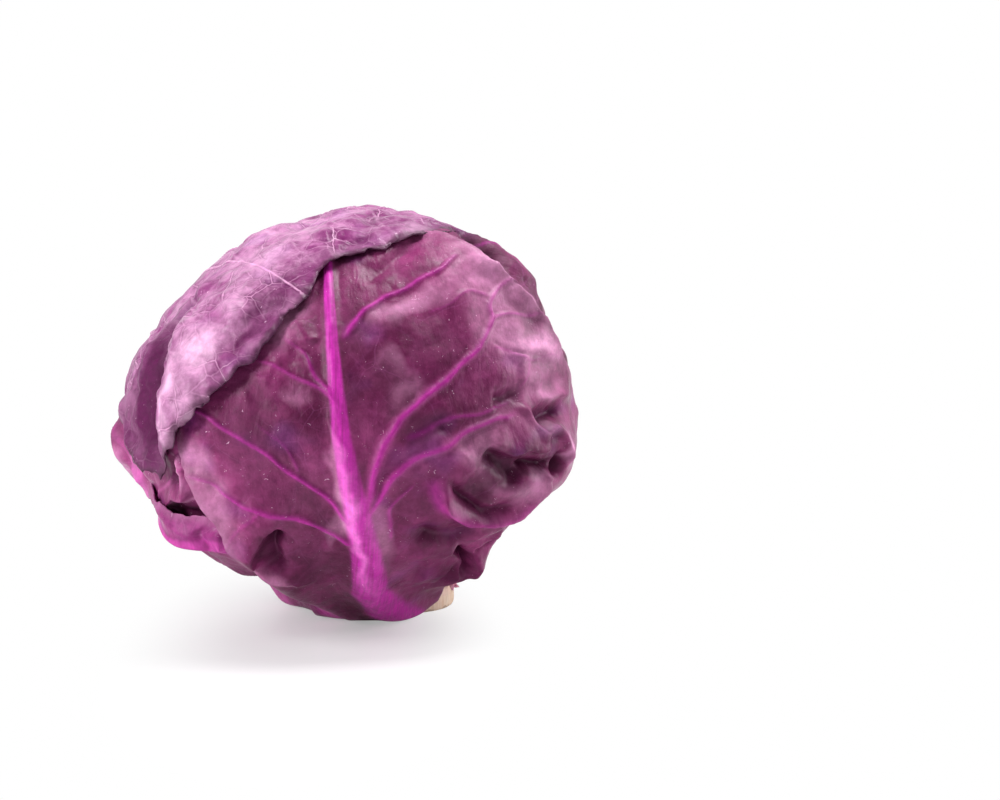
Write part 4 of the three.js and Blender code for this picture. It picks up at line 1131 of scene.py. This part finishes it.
def make_torn_tips(name, material, across, deep, rise, count, length, seed):
    holder = bpy.data.objects.new(name + "_maker", bpy.data.meshes.new(name + "_maker"))
    bpy.context.scene.collection.objects.link(holder)
    tree = torn_tips_tree(material)
    maker = holder.modifiers.new("torn_tips", "NODES")
    maker.node_group = tree
    given = {"Across": across * MM, "Deep": deep * MM, "Rise": rise * MM, "Length": length * MM,
             "Count": count, "Seed": seed}
    for item in tree.interface.items_tree:
        if item.in_out == "INPUT":
            maker[item.identifier] = given[item.name]
    mesh = bpy.data.meshes.new_from_object(holder.evaluated_get(bpy.context.evaluated_depsgraph_get()))
    mesh.name = name
    holder.modifiers.remove(maker)
    bpy.data.objects.remove(holder)
    piece = bpy.data.objects.new(name, mesh)
    bpy.context.scene.collection.objects.link(piece)
    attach(piece, "root")


make_stump()
torn_flesh = flesh_material("torn_flesh", (226, 176, 190), (206, 130, 166), (184, 60, 130))
make_torn_tips("stump_torn_tips", torn_flesh, 21.4, 16.5, 7.5, 100, 4.0, 5)


# ---- camera, floor and light
VIEW_RISE = math.radians(10)
VIEW_DISTANCE, VIEW_RIGHT, VIEW_UP = 956.0, 52.3, 2.75
forward = np.array([0, math.cos(VIEW_RISE), -math.sin(VIEW_RISE)])
upward = np.array([0, math.sin(VIEW_RISE), math.cos(VIEW_RISE)])
camera = bpy.data.objects.new("camera", bpy.data.cameras.new("camera"))
camera.data.lens = 100
shift = VIEW_RIGHT * np.array([1, 0, 0]) + VIEW_UP * upward
camera.location = Vector((HEAD_CENTRE - VIEW_DISTANCE * forward + shift) * MM)
camera.rotation_euler = (math.pi / 2 - VIEW_RISE, 0, 0)
bpy.context.scene.collection.objects.link(camera)
bpy.context.scene.camera = camera


def floor_material():
    """A white sheet that keeps the soft shadow near the head and goes to plain white further out."""
    material, g = new_material("floor")
    place = g.add("ShaderNodeSeparateXYZ", {0: g.add("ShaderNodeTexCoord").outputs["Object"]}).outputs
    across = g.math("MULTIPLY", g.math("ADD", place[0], 0.024), 1.9)
    along = g.math("MULTIPLY", g.math("ADD", place[1], 0.06), 0.85)
    far = g.math("SQRT", g.math("ADD", g.math("MULTIPLY", across, across), g.math("MULTIPLY", along, along)))
    white = g.add("ShaderNodeEmission", {"Color": (1, 1, 1, 1), "Strength": 1.0})
    sheet = g.add("ShaderNodeBsdfPrincipled", {"Base Color": (0.86, 0.85, 0.86, 1), "Roughness": 0.42})
    to_camera = g.add("ShaderNodeLightPath").outputs["Is Camera Ray"]
    seen = g.math("MULTIPLY", to_camera, g.span(far, 0.03, 0.13, 0.3, 1.0))
    both = g.add("ShaderNodeMixShader", {0: seen, 1: sheet.outputs[0], 2: white.outputs[0]})
    finish_surface(g, both)
    return material


FLOOR_CORNERS = np.array([(-3000.0, -1500, 0), (3000, -1500, 0), (3000, 4000, 0), (-3000, 4000, 0)])
floor = mesh_object("floor", FLOOR_CORNERS, [[0, 1, 2, 3]])
floor.data.materials.append(floor_material())


def area_light(name, place, aim, size, power):
    lamp = bpy.data.lights.new(name, "AREA")
    lamp.shape = "RECTANGLE"
    lamp.size, lamp.size_y = size
    lamp.energy = power
    fixture = bpy.data.objects.new(name, lamp)
    fixture.location = place
    fixture.rotation_euler = (Vector(aim) - Vector(place)).to_track_quat("-Z", "Y").to_euler()
    bpy.context.scene.collection.objects.link(fixture)


HEAD_MIDDLE = (0, 0, 0.07)
area_light("softbox_left", (-0.8, -0.4, 0.5), HEAD_MIDDLE, (0.4, 0.6), 11.7)
area_light("softbox_right", (0.85, 0.1, 0.35), HEAD_MIDDLE, (0.4, 0.5), 5)
area_light("softbox_top", (0.25, 0.1, 0.9), HEAD_MIDDLE, (0.4, 0.4), 10.5)
area_light("front_fill", (0.1, -1.3, 0.5), HEAD_MIDDLE, (0.8, 0.5), 0.8)


DIM_LIGHT = 0.12  # how strongly the white surroundings light the head


def studio_world():
    """White behind the head, to the camera and in reflections, darker behind the camera, and dim as light."""
    world = bpy.data.worlds.new("studio")
    bpy.context.scene.world = world
    world.use_nodes = True
    g = Graph(world.node_tree)
    world.node_tree.nodes.clear()
    path = g.add("ShaderNodeLightPath").outputs
    direction = g.add("ShaderNodeTexCoord").outputs["Generated"]
    towards = g.add("ShaderNodeSeparateXYZ", {0: direction}).outputs["Y"]
    reflected = g.math("MAXIMUM", path["Is Glossy Ray"], path["Is Transmission Ray"])
    strength = g.math("MULTIPLY", reflected, g.span(towards, -0.1, 0.6, 0.1, 1.0))
    strength = g.math("MAXIMUM", strength, g.math("MAXIMUM", path["Is Camera Ray"], DIM_LIGHT))
    light = g.add("ShaderNodeBackground", {"Color": (1, 1, 1, 1), "Strength": strength})
    output = g.add("ShaderNodeOutputWorld")
    g.tree.links.new(light.outputs[0], output.inputs["Surface"])


studio_world()
bpy.context.scene.view_settings.view_transform = "Standard"
